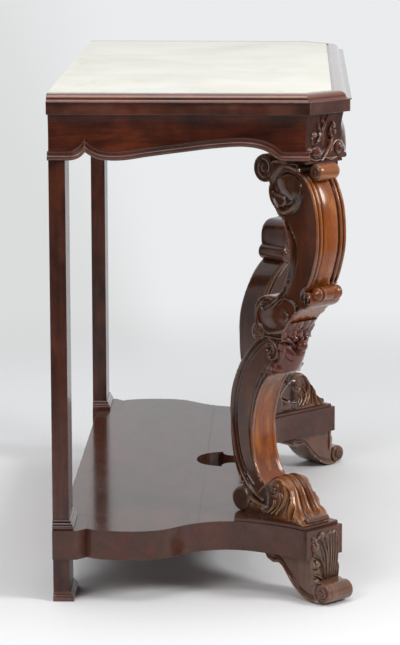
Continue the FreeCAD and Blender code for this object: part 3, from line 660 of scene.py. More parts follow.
@dataclass(frozen=True)
class LegAxes:
    """The left leg's axes: out from the canted face, across it towards the back, and up."""

    centre: tuple[float, float]

    @staticmethod
    def from_frame() -> "LegAxes":
        """The axes that the shelf's canted corner gives."""
        arm_low, _ = in_mm("shelf_arm_left")
        half_cant = 30.5
        return LegAxes((arm_low[0] + half_cant, arm_low[1] + half_cant))

    def world(self, points: Array) -> Array:
        """Table points of leg points (reach, across, height)."""
        reach, across, height = points.T
        slant = math.sqrt(0.5)
        return np.stack([self.centre[0] - slant * (reach + across),
                         self.centre[1] - slant * (reach - across), height], axis=1)

    def local(self, points: Array) -> Array:
        """Leg points of table points."""
        slant = math.sqrt(0.5)
        x, y = points[:, 0] - self.centre[0], points[:, 1] - self.centre[1]
        return np.stack([-slant * (x + y), slant * (y - x), points[:, 2]], axis=1)


def low_relief(flat: Array, triangles: Array, edge: int, front: Array, back: float) -> Draft:
    """A thin carved piece: a raised front and a flat back, walled along its outline.

    Args:
        flat: its points (n, 2), those of the outline first.
        triangles: the triangles between them.
        edge: how many points the outline has.
        front: how far out each point of the front lies.
        back: how far out the back lies.

    Returns:
        The piece, in leg axes.
    """
    total, here = len(flat), np.arange(edge)
    there = (here + 1) % edge
    wall = np.stack([here, there, there + total, here + total], axis=1)
    points = np.vstack([np.column_stack([front, flat]),
                        np.column_stack([np.full(total, back), flat])])
    return Draft().add(points, [triangles, triangles[:, ::-1] + total, wall[:, ::-1]],
                       grain=points[:, [2, 1, 0]])


def twin(points: Array) -> Array:
    """The right-hand places of left-hand points."""
    return points * np.array([-1.0, 1.0, 1.0])


# ------------------------------------------------------------------ finishes

Colour = tuple[int, int, int]  # as on a screen, 0 to 255


def paint(red: int, green: int, blue: int) -> tuple[float, float, float, float]:
    """A colour written as on a screen, 0 to 255, as the shader wants it."""
    levels = np.array([red, green, blue]) / 255
    linear = np.where(levels <= 0.04045, levels / 12.92, ((levels + 0.055) / 1.055) ** 2.4)
    return (*map(float, linear), 1.0)


def joined_by(operation: str, swapped: bool = False) -> Callable[["Wire", "Value"], "Wire"]:
    """A method of two values that adds a Math node.

    Args:
        operation: what the node works out.
        swapped: whether the other value comes first.

    Returns:
        The method.
    """
    def method(self: "Wire", other: "Value") -> "Wire":
        """The result for this wire and another value."""
        values = (other, self) if swapped else (self, other)
        return self.web.node("ShaderNodeMath", {"operation": operation}, dict(enumerate(values)))

    return method


class Wire:
    """An output of a shader node, with arithmetic that adds Math nodes."""

    def __init__(self, web: "Web", socket: bpy.types.NodeSocket) -> None:
        """Wrap a socket of a web's tree."""
        self.web = web
        self.socket = socket

    __add__, __radd__ = joined_by("ADD"), joined_by("ADD", swapped=True)
    __sub__, __rsub__ = joined_by("SUBTRACT"), joined_by("SUBTRACT", swapped=True)
    __mul__, __rmul__ = joined_by("MULTIPLY"), joined_by("MULTIPLY", swapped=True)

    def __abs__(self) -> "Wire":
        """The value without its sign."""
        return self.web.node("ShaderNodeMath", {"operation": "ABSOLUTE"}, {0: self})

    def above(self, low: float, high: float) -> "Wire":
        """0 below low and 1 above high, smoothly between."""
        return self.web.node("ShaderNodeMapRange", {"interpolation_type": "SMOOTHSTEP"},
                             {0: self, 1: low, 2: high, 3: 0.0, 4: 1.0})

    def held(self) -> "Wire":
        """The value kept between 0 and 1."""
        return self.web.node("ShaderNodeMath", {"operation": "ADD", "use_clamp": True},
                             {0: self, 1: 0.0})


Value = Wire | float | Sequence[float]


class Web:
    """The node tree of a material or of the world."""

    def __init__(self, owner: bpy.types.Material | bpy.types.World) -> None:
        """Start its tree with nothing in it."""
        owner.use_nodes = True
        self.owner = owner
        self.tree = owner.node_tree
        self.tree.nodes.clear()

    def node(self, kind: str, settings: dict[str, object] | None = None,
             values: dict[int | str, Value] | None = None, out: int | str = 0) -> Wire:
        """Add a node.

        Args:
            kind: the node's type.
            settings: its properties, and "stops" for a ramp's places and colours.
            values: numbers or wires for its sockets, by number or name.
            out: the output to return.

        Returns:
            The chosen output.
        """
        made = self.tree.nodes.new(kind)
        for name, setting in (settings or {}).items():
            if name == "stops":
                self.fill_ramp(made.color_ramp, setting)
            else:
                setattr(made, name, setting)
        for name, value in (values or {}).items():
            if isinstance(value, Wire):
                self.tree.links.new(value.socket, made.inputs[name])
            else:
                made.inputs[name].default_value = value
        return Wire(self, made.outputs[out])

    @staticmethod
    def fill_ramp(ramp: bpy.types.ColorRamp,
                  stops: Sequence[tuple[float, Sequence[float]]]) -> None:
        """Set a ramp's stops to the given places and colours."""
        while len(ramp.elements) < len(stops):
            ramp.elements.new(0.5)
        for element, (place, colour) in zip(ramp.elements, stops):
            element.position = place
            element.color = colour

    def mix(self, share: Value, first: Value, second: Value) -> Wire:
        """A colour between two."""
        return self.node("ShaderNodeMix", {"data_type": "RGBA"},
                         {0: share, 6: first, 7: second}, out=2)

    def noise(self, place: Wire, scale: float, detail: float = 3.0, rough: float = 0.5,
              warp: float = 0.0) -> Wire:
        """Noise between 0 and 1 at a place."""
        return self.node("ShaderNodeTexNoise", None, {
            "Vector": place, "Scale": scale, "Detail": detail, "Roughness": rough,
            "Distortion": warp})

    def stretched(self, place: Wire, by: Sequence[float]) -> Wire:
        """A place multiplied axis by axis."""
        return self.node("ShaderNodeVectorMath", {"operation": "MULTIPLY"}, {0: place, 1: by})

    def attribute(self, name: str, vector: bool = False) -> Wire:
        """A value stored at the mesh's points."""
        return self.node("ShaderNodeAttribute", {"attribute_name": name},
                         out="Vector" if vector else "Fac")

    def where(self) -> Wire:
        """The piece's own place, in metres."""
        return self.node("ShaderNodeTexCoord", out="Object")

    def bump(self, height: Wire, strength: float, distance: float) -> Wire:
        """A normal bent by a height."""
        return self.node("ShaderNodeBump", None, {
            "Strength": strength, "Distance": distance, "Height": height})

    def surface(self, values: dict[int | str, Value]) -> bpy.types.Material:
        """Finish the material with a Principled shader."""
        self.shown(self.node("ShaderNodeBsdfPrincipled", None, values))
        return self.owner

    def shown(self, shader: Wire) -> None:
        """Link a shader to the output."""
        kind = "World" if isinstance(self.owner, bpy.types.World) else "Material"
        last = self.tree.nodes.new(f"ShaderNodeOutput{kind}")
        self.tree.links.new(shader.socket, last.inputs["Surface"])


class Grain(Enum):
    """Which way a timber's grain runs; CARVED follows the grain stored with a mesh."""

    LENGTH = 0
    DEPTH = 1
    HEIGHT = 2
    CARVED = None

    def noise(self, web: Web, along: float, aside: float, detail: float, rough: float = 0.5,
              warp: float = 0.0) -> Wire:
        """Noise stretched along the grain.

        Args:
            web: the tree to add it to.
            along: repeats to the metre along the grain.
            aside: repeats across it.
            detail: the noise's detail.
            rough: its roughness.
            warp: its distortion.

        Returns:
            The noise, between 0 and 1.
        """
        if self is Grain.CARVED:
            place = web.stretched(web.attribute("grain", vector=True), (along, aside, aside))
        else:
            scale = [aside, aside, aside]
            scale[self.value] = along
            place = web.stretched(web.where(), scale)
        return web.noise(place, 1.0, detail, rough, warp)


# noise that runs with the grain: repeats to the metre along and across it, then the noise's
# detail, roughness and distortion
FIGURE = (4.5, 15.0, 4.0, 0.55, 1.1)
FLAME = (9.0, 90.0, 3.0, 0.6, 0.6)
FINE_LINES = (16.0, 700.0, 2.0)
PORES = (120.0, 1900.0, 1.0)
RIBBON = (30.0, 34.0, 2.0, 0.5, 0.4)
BLUSH = (7.0, 26.0, 2.0, 0.5, 0.8)
GOLD_HIGHLIGHT_STREAKS = (12.0, 75.0, 3.0, 0.6, 0.5)
GROWTH_RINGS = (2.0, 60.0, 3.0, 0.5, 0.8)
FIBRES = (30.0, 1100.0, 2.0)


@dataclass(frozen=True)
class Mahogany:
    """Figured mahogany under glossy shellac.

    Cloudy figure and flame streaks lie over fine grain lines and pores.  Hollows hold dark waxy
    dirt and painted shade, ridges are paler with worn edges and a painted highlight, and bare
    faces show orange-brown wood with pale gold streaks painted as highlights.
    """

    name: str
    grain: Grain
    dark: Colour = (50, 24, 16)
    middle: Colour = (86, 41, 28)
    light: Colour = (122, 60, 38)
    # paler colour of worn ridges, also a painted highlight along them
    rubbed: Colour = (150, 92, 56)
    # dark waxy colour in open pores, and in hollows also a painted shade
    wax: Colour = (22, 10, 8)
    bared: Colour = (156, 82, 32)
    bared_dark: Colour = (122, 60, 26)
    bared_lines: Colour = (98, 46, 20)
    # pale gold streaks on bare wood, painted highlights
    gilt: Colour = (186, 122, 54)
    red: Colour = (110, 36, 24)
    amber: Colour = (122, 58, 34)
    olive: Colour = (36, 26, 18)
    figure: float = 1.0
    gloss: float = 0.24
    coat: float = 0.15
    ripple: float = 1.0
    # how far hollows darken: waxy dirt and painted shade
    waxing: float = 0.5
    blotch: float = 0.35

    def material(self) -> bpy.types.Material:
        """The material."""
        web = Web(bpy.data.materials.new(self.name))

        def laid(share: Wire, below: Wire, colour: Colour) -> Wire:
            """A colour laid over others by a share."""
            return web.mix(share, below, paint(*colour))

        clouds, flame, lines, pores, ribbon, blush, gold_highlight_streaks = (
            self.grain.noise(web, *pattern)
            for pattern in (FIGURE, FLAME, FINE_LINES, PORES, RIBBON, BLUSH, GOLD_HIGHLIGHT_STREAKS))
        tone = clouds * 0.55 + flame * 0.3 + ribbon * 0.15
        base = web.node("ShaderNodeValToRGB", {"stops": [
            (0.36, paint(*self.dark)), (0.50, paint(*self.middle)), (0.64, paint(*self.light))]},
            {0: tone * self.figure + 0.5 * (1 - self.figure)})
        base = laid(blush.above(0.52, 0.72) * 0.25, base, self.red)
        amber = web.noise(web.where(), 13.0, 3.0).above(0.5, 0.72)
        olive = web.noise(web.where(), 9.0, 4.0, 0.6).above(0.5, 0.7)
        base = laid(amber * self.blotch, base, self.amber)
        base = laid(olive * self.blotch, base, self.olive)
        base = laid(lines.above(0.45, 0.75) * 0.2, base, self.dark)
        open_pores = pores.above(0.62, 0.72)
        base = laid(open_pores * 0.6, base, self.wax)

        bare = web.attribute("bare")
        lighter = web.mix(tone.above(0.38, 0.62), paint(*self.bared_dark), paint(*self.bared))
        lighter = laid(lines.above(0.4, 0.7) * 0.45, lighter, self.bared_lines)
        # pale gold streaks along the grain on bare wood: painted highlights
        lighter = laid(gold_highlight_streaks.above(0.52, 0.7) * 0.5, lighter, self.gilt)
        base = web.mix((bare * (0.75 + 0.25 * clouds)).held(), base, lighter)

        # Ridges get the paler worn colour, partly a painted highlight; hollows get the dark waxy
        # colour, partly painted shade.
        wear = web.attribute("wear")
        patch = web.noise(web.where(), 26.0, 3.0).above(0.3, 0.7)
        base = laid((wear * (0.07 + 0.2 * patch)).held(), base, self.rubbed)
        base = laid((wear * -self.waxing).held(), base, self.wax)
        smear = web.noise(web.where(), 18.0, 3.0)
        rough = self.gloss + (smear - 0.5) * 0.12 + open_pores * 0.15
        rough = rough + (wear * -0.06).held() + bare * 0.05
        waves = web.noise(web.where(), 60.0, 2.0)
        height = lines * 0.25 - open_pores * 0.5 + waves * 0.6 * self.ripple
        return web.surface({
            "Base Color": base, "Roughness": rough.held(),
            "Normal": web.bump(height, 0.16 * self.ripple, 0.0006),
            "Coat Weight": (1 - bare * 0.55) * self.coat, "Coat Roughness": 0.07, "IOR": 1.5,
            "Specular IOR Level": 0.32})


@dataclass(frozen=True)
class Marble:
    """Honed white marble: faint warm clouds and thin grey veins."""

    name: str = "white_marble"

    def material(self) -> bpy.types.Material:
        """The material; a vein is where warped noise crosses its middle value."""
        web = Web(bpy.data.materials.new(self.name))
        place = web.where()
        bend = web.node("ShaderNodeTexNoise", None, {"Vector": place, "Scale": 3.0, "Detail": 4.0},
                        out="Color")
        warped = web.node("ShaderNodeVectorMath", {"operation": "MULTIPLY_ADD"},
                          {0: bend, 1: (0.3, 0.3, 0.3), 2: place})
        clouds = web.noise(warped, 4.0, 5.0, 0.55)
        thin = web.noise(warped, 6.0, 6.0, 0.6)
        vein = 1 - abs(thin - 0.5).above(0.0, 0.022)
        broad = 1 - abs(web.noise(warped, 2.2, 4.0, 0.5) - 0.48).above(0.0, 0.07)
        base = web.mix(clouds.above(0.35, 0.7), paint(222, 221, 211), paint(212, 210, 197))
        base = web.mix(broad * 0.35, base, paint(196, 196, 188))
        base = web.mix(vein * 0.3 * clouds.above(0.4, 0.7), base, paint(168, 168, 158))
        grains = web.noise(place, 900.0, 2.0)
        base = web.mix(grains.above(0.5, 0.75) * 0.12, base, paint(250, 250, 246))
        return web.surface({
            "Base Color": base, "Roughness": 0.3 + clouds * 0.12, "IOR": 1.5,
            "Coat Weight": 0.1, "Coat Roughness": 0.2,
            "Normal": web.bump(grains, 0.05, 0.0002)})


@dataclass(frozen=True)
class PlainWood:
    """Unfinished wood of hidden pieces: pale and dark growth lines and a few knots' shadows."""

    name: str
    grain: Grain
    pale: Colour
    dark: Colour
    stain: Colour = (96, 66, 42)

    def material(self) -> bpy.types.Material:
        """The material."""
        web = Web(bpy.data.materials.new(self.name))
        rings = self.grain.noise(web, *GROWTH_RINGS)
        fibre = self.grain.noise(web, *FIBRES)
        stain = web.noise(web.where(), 7.0, 4.0)
        base = web.mix(rings.above(0.42, 0.62), paint(*self.pale), paint(*self.dark))
        base = web.mix(fibre.above(0.5, 0.7) * 0.4, base, paint(*self.dark))
        base = web.mix(stain.above(0.5, 0.75) * 0.35, base, paint(*self.stain))
        return web.surface({
            "Base Color": base, "Roughness": 0.62 + fibre * 0.25, "IOR": 1.45,
            "Normal": web.bump(fibre + rings * 0.4, 0.35, 0.0005)})


LOOKS = (
    Mahogany("mahogany_along", Grain.LENGTH),
    Mahogany("mahogany_deep", Grain.DEPTH),
    Mahogany("mahogany_upright", Grain.HEIGHT, (43, 25, 20), (72, 42, 34), (98, 57, 46)),
    Mahogany("mahogany_shelf", Grain.LENGTH, (56, 32, 24), (75, 45, 36), (92, 56, 44),
             figure=0.75, gloss=0.13, ripple=0.35, blotch=0.15),
    Mahogany("mahogany_moulded", Grain.CARVED, (44, 20, 15), (76, 38, 29), (112, 59, 45),
             (214, 168, 148), figure=0.8, gloss=0.16, coat=0.6, waxing=0.4),
    Mahogany("mahogany_carved", Grain.CARVED, (47, 23, 13), (72, 37, 21), (99, 53, 29),
             (184, 148, 124), bared=(160, 84, 26), figure=0.6, gloss=0.17, coat=0.45,
             ripple=0.8, waxing=0.8),
    Mahogany("mahogany_rim", Grain.CARVED, (62, 28, 17), (102, 48, 29), (132, 67, 42),
             figure=0.8, gloss=0.12, coat=1.0, ripple=0.4, waxing=0.25),
    Mahogany("mahogany_foot", Grain.CARVED, (70, 47, 36), (104, 73, 57), (134, 98, 76),
             (196, 154, 126), figure=0.6, gloss=0.18, coat=0.4, waxing=0.8),
    Mahogany("mahogany_console", Grain.CARVED, (40, 24, 16), (64, 40, 28), (90, 58, 40),
             (206, 164, 118), (16, 8, 6), (168, 104, 50), figure=0.6, gloss=0.16, coat=0.6,
             waxing=1.0),
    Mahogany("mahogany_sprig", Grain.CARVED, (50, 24, 18), (82, 42, 33), (114, 64, 50),
             (232, 196, 172), figure=0.6, gloss=0.1, coat=1.0, ripple=0.35, waxing=0.9),
    Mahogany("mahogany_knuckle", Grain.CARVED, (64, 28, 22), (94, 46, 38), (120, 62, 50),
             (160, 110, 84), figure=0.6, gloss=0.18, coat=0.4, waxing=0.9),
    Marble(),
    PlainWood("pine_along", Grain.LENGTH, (206, 166, 112), (160, 112, 66)),
    PlainWood("pine_deep", Grain.DEPTH, (206, 166, 112), (160, 112, 66)),
    PlainWood("pine_stained", Grain.LENGTH, (66, 44, 28), (40, 26, 17)),
    PlainWood("birch_dowel", Grain.HEIGHT, (222, 194, 148), (190, 154, 106)),
)


# ------------------------------------------------------------------ pieces

def added(name: str, data: bpy.types.ID) -> bpy.types.Object:
    """A new object in the scene."""
    made = bpy.data.objects.new(name, data)
    bpy.context.scene.collection.objects.link(made)
    return made


@dataclass
class Shop:
    """Turns drafts and CAD nodes into finished pieces of the table.

    A piece's name is how it was made, and then the node it stands for.
    """

    finishes: dict[str, bpy.types.Material]
    flat_bend: float = 0.6  # degrees
    sharp_bend: float = 30.0
    smooth_bend: float = 28.0

    def fixed(self, made: bpy.types.Object) -> None:
        """Fix a piece to the carcase and in place of its node."""
        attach(made, BODY)
        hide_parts(made.name.partition("_")[2])
        LOG.info("piece %s: %d faces", made.name, len(made.data.polygons))

    def piece(self, name: str, draft: Draft, finish: str, slot: str,
              crease: float = CREASE) -> None:
        """Make a piece of a draft.

        Args:
            name: the piece's name.
            draft: its points and faces.
            finish: its material's name.
            slot: not used.
            crease: edges that turn by more degrees than this stay sharp.
        """
        made = added(name, draft.mesh(name, crease))
        made.data.materials.append(self.finishes[finish])
        self.fixed(made)

    def pair(self, name: str, draft: Draft, finish: str, slot: str,
             crease: float = CREASE) -> None:
        """Make the left-hand piece of a draft and its mirror image on the right."""
        self.piece(name, draft, finish, slot, crease)
        self.piece(name.replace("left", "right"), draft.placed(twin, turned_over=True), finish,
                   slot, crease)

    def carved_pair(self, stem: str, draft: Draft, axes: LegAxes, finish: str,
                    crease: float) -> None:
        """Make the left and right pieces of a draft that is drawn in the leg's axes."""
        self.pair(f"carved_{stem}_left", draft.placed(axes.world, turned_over=True), finish,
                  "carved_mahogany", crease)

    def softened(self, node: str, finish: str, width: float) -> None:
        """Replace a flat timber by a copy of itself with its edges eased.

        The copy's loose triangles are merged and its flat faces joined before a two-step
        bevel rounds every edge that turns sharply.

        Args:
            node: the timber.
            finish: its material's name.
            width: the bevel's width in millimetres.
        """
        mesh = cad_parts[node].data.copy()
        mesh.name = f"eased_{node}"
        mesh.materials.clear()
        mesh.materials.append(self.finishes[finish])
        work = bmesh.new()
        work.from_mesh(mesh)
        bmesh.ops.remove_doubles(work, verts=work.verts, dist=WELD * MM)
        bmesh.ops.dissolve_limit(work, angle_limit=math.radians(self.flat_bend),
                                 verts=work.verts, edges=work.edges)
        for face in work.faces:
            face.smooth = True
            face.material_index = 0
        sharp = [edge for edge in work.edges if len(edge.link_faces) == 2
                 and edge.calc_face_angle() > math.radians(self.sharp_bend)]
        bmesh.ops.bevel(work, geom=sharp, offset=width * MM, segments=2, profile=0.6,
                        affect="EDGES", clamp_overlap=True)
        work.to_mesh(mesh)
        work.free()
        if "custom_normal" in mesh.attributes:
            mesh.attributes.remove(mesh.attributes["custom_normal"])
        shade(mesh, self.smooth_bend)
        made = added(mesh.name, mesh)
        made.modifiers.new("flat_faces", "WEIGHTED_NORMAL").keep_sharp = True
        self.fixed(made)

    def dressed(self, node: str, finish: str) -> None:
        """Give a CAD node its finish and leave its shape."""
        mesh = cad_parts[node].data
        mesh.materials.clear()
        mesh.materials.append(self.finishes[finish])
        LOG.info("dressed %s", node)


# ------------------------------------------------------------------ top and frieze

@dataclass(frozen=True)
class Plan:
    """The rim's outline in plan, in millimetres: two sides, a front and canted corners."""

    half_width: float
    front: float
    back: float
    cant: float

    @staticmethod
    def from_frame() -> "Plan":
        """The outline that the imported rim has."""
        side_low, side_high = in_mm("rim_left")
        front_low, _ = in_mm("rim_front")
        return Plan(-side_low[0], front_low[1], side_high[1], side_low[1] - front_low[1])

    def corner(self, turn: int, inset: Array) -> Array:
        """Corners of the outline moved inwards: 0 rear left, 1 and 2 the cant, 3 front right.

        Args:
            turn: which corner.
            inset: how far in, for each point.

        Returns:
            Places (n, 2).
        """
        mitre = inset * (math.sqrt(2) - 1)
        if turn == 0:
            return np.stack([inset - self.half_width, np.full_like(inset, self.back)], axis=1)
        if turn == 1:
            return np.stack([inset - self.half_width, self.front + self.cant + mitre], axis=1)
        side = -1 if turn == 2 else 1
        return np.stack([side * (self.half_width - self.cant - mitre), self.front + inset], axis=1)


def prism(loops: Array) -> tuple[Array, list[Array]]:
    """A profile carried through stations, each end closed by one flat face."""
    stations, around, _ = loops.shape
    ends = np.arange(around)[None, :]
    return loops.reshape(-1, 3), [grid_quads(stations, around, True), ends[:, ::-1],
                                  ends + (stations - 1) * around]


def rounded(points: Sequence[tuple[float, float]], radius: float, steps: int = 4) -> Array:
    """A closed profile with its corners rounded by quadratic curves of about a radius."""
    corners = np.asarray(points, float)
    before = np.roll(corners, 1, axis=0) - corners
    ahead = np.roll(corners, -1, axis=0) - corners
    reach = np.minimum(radius, 0.45 * np.minimum(np.linalg.norm(before, axis=1),
                                                 np.linalg.norm(ahead, axis=1)))[:, None]
    start, finish = corners + unit(before) * reach, corners + unit(ahead) * reach
    share = np.linspace(0, 1, steps)[None, :, None]
    curve = ((1 - share) ** 2 * start[:, None] + 2 * share * (1 - share) * corners[:, None]
             + share ** 2 * finish[:, None])
    return curve.reshape(-1, 2)


@dataclass
class Top:
    """Marble slab in its moulded rim, over a flat band."""

    plan: Plan
    lip_low: float = 5.8
    lip_height: float = 2.2
    lip_width: float = 6.6
    flat_width: float = 9.0
    band_inset: float = 5.0
    cove: tuple[float, float, float] = (3.4, 3.2, 3.9)  # reach, fall and height of its centre
    quirk: tuple[float, float] = (2.2, 1.6)  # width and depth
    slab_gap: float = 0.6
    joint: float = 0.12
    stations: int = 24
    runs: tuple[tuple[str, int], ...] = (("left", 0), ("cant_left", 1), ("front", 2))

    def rim_profile(self) -> Array:
        """Rim section as (inset, height): lip, fillet, hollow, round, flat top and quirk."""
        low, high = (corner[2] for corner in in_mm("rim_left"))
        width = in_mm("marble_top")[0][0] + self.plan.half_width - self.slab_gap
        slab_low = in_mm("marble_top")[0][2]
        bed = in_mm("marble_bed")[0][0] + self.plan.half_width
        step = low + self.lip_low + self.lip_height
        reach, fall, centre = self.cove
        arc = np.linspace(0.05, 1.3, 7)
        hollow = np.stack([self.lip_width + reach * np.sin(arc),
                           step + centre - fall * np.cos(arc)], axis=1)
        crown = width - self.flat_width
        bow = np.linspace(0.15, math.pi / 2, 12)
        swell = np.stack([hollow[-1, 0] + (crown - hollow[-1, 0]) * (1 - np.cos(bow)),
                          hollow[-1, 1] + (high - hollow[-1, 1]) * np.sin(bow)], axis=1)
        lip = rounded([(self.band_inset, low), (self.band_inset, low + self.lip_low),
                       (0.2, low + self.lip_low), (0.0, step - 0.4), (1.0, step),
                       (self.lip_width, step), (self.lip_width + 0.4, step + 0.7)], 0.6)
        wide, deep = self.quirk
        inner = rounded([(width - wide - 0.8, high - 0.2), (width - wide, high - deep),
                         (width, high - deep), (width, slab_low), (bed, slab_low), (bed, low)],
                        0.3)
        return np.vstack([lip, hollow, swell, inner])

    def band_profile(self) -> Array:
        """Section of the flat band under the rim."""
        low, high = in_mm("fascia_left")
        front = low[0] + self.plan.half_width
        back = in_mm("marble_bed")[0][0] + self.plan.half_width
        return rounded([(back, low[2]), (front, low[2]), (front, high[2]), (back, high[2])], 0.9)

    def run(self, turn: int, profile: Array) -> Draft:
        """A mitred length of moulding: each profile point runs from corner to corner."""
        start = self.plan.corner(turn, profile[:, 0])
        finish = self.plan.corner(turn + 1, profile[:, 0])
        step = unit((finish - start).mean(axis=0))
        share = np.linspace(0, 1, self.stations)[:, None, None]
        flat = (start + step * self.joint) * (1 - share) + (finish - step * self.joint) * share
        tall = np.broadcast_to(profile[None, :, 1:], (self.stations, len(profile), 1))
        points, faces = prism(np.concatenate([flat, tall], axis=2))
        along = points[:, :2] @ step
        aside = points[:, :2] @ np.array([-step[1], step[0]])
        grain = np.stack([along, aside, points[:, 2]], axis=1)
        return Draft().add(points, faces, grain=grain)

    def build(self, shop: Shop) -> None:
        """Make the rim and band, and finish the marble and its bed."""
        for stem, profile, finish in (("rim", self.rim_profile(), "mahogany_rim"),
                                      ("fascia", self.band_profile(), "mahogany_moulded")):
            for side, turn in self.runs:
                make = shop.piece if side == "front" else shop.pair
                make(f"moulded_{stem}_{side}", self.run(turn, profile), finish, "mahogany")
        shop.dressed("marble_top", "white_marble")
        shop.dressed("marble_bed", "pine_along")


SPRIG_RING = (
    (32, 759), (33, 788), (28, 815), (8, 838), (-14, 838), (-32, 826), (-40, 800), (-53, 794),
    (-53, 772), (-40, 759),
)

# the sprig: a forked leaf over a pair of volutes, as (across, height)
SPRIG = (
    # broad leaf, its lobes and the long stem through it
    Stroke(((-6, 780), (-6, 796), (-8, 812)), 18.0, 2.0, 0.5, 0.5),
    Stroke(((4, 762), (-5, 769), (-15, 780), (-23, 796), (-19, 811), (-25, 825)),
        7.0, 9.0, 0.8, 0.4),
    Stroke(((-14, 766), (-24, 776), (-33, 786)), 4.0, 3.6, 0.7, 0.5),
    Stroke(((7, 793), (1, 806), (-5, 820), (-13, 836)), 9.5, 7.6, 0.7, 0.25),
    Stroke(((0, 808), (6, 815), (9, 824)), 5.5, 6.4, 0.7, 0.6),
    Stroke(((-6, 822), (0, 828), (2, 835)), 5.0, 6.0, 0.7, 0.6), Boss((16, 805), (6.0, 6.0), 7.4),
    Boss((-29, 818), (4.6, 6.2), 5.6, -25), Boss((-32, 807), (4.6, 5.0), 5.6),
    Stroke(((20, 800), (20, 790), (12, 785)), 4.5, 4.6, 0.7, 0.5),
    Stroke(((2, 800), (6, 792), (14, 788)), 4.0, 4.2, 0.5, 0.5),
    # disc and little scroll on the left, ringed volute on the right
    Boss((11, 776), (12.5, 11.5), 9.0, 0, 0.6), Boss((28, 780), (5.5, 5.5), 8.0),
    Boss((-44, 780), (12.5, 13.5), 8.0, 0, 0.6), Boss((-44, 781), (5.5, 5.5), 12.6),
    Boss((11, 777), (5.0, 5.0), 11.4),
    Stroke(((-18, 772), (-26, 784), (-36, 792), (-46, 791)), 6.0, 5.4, 0.6, 0.6),
    Stroke(((-10, 764), (-24, 763), (-36, 765)), 8.0, 5.4, 0.8, 0.6),
    Stroke(((0, 764), (14, 762), (28, 766)), 6.0, 4.6, 0.8, 0.6),
)


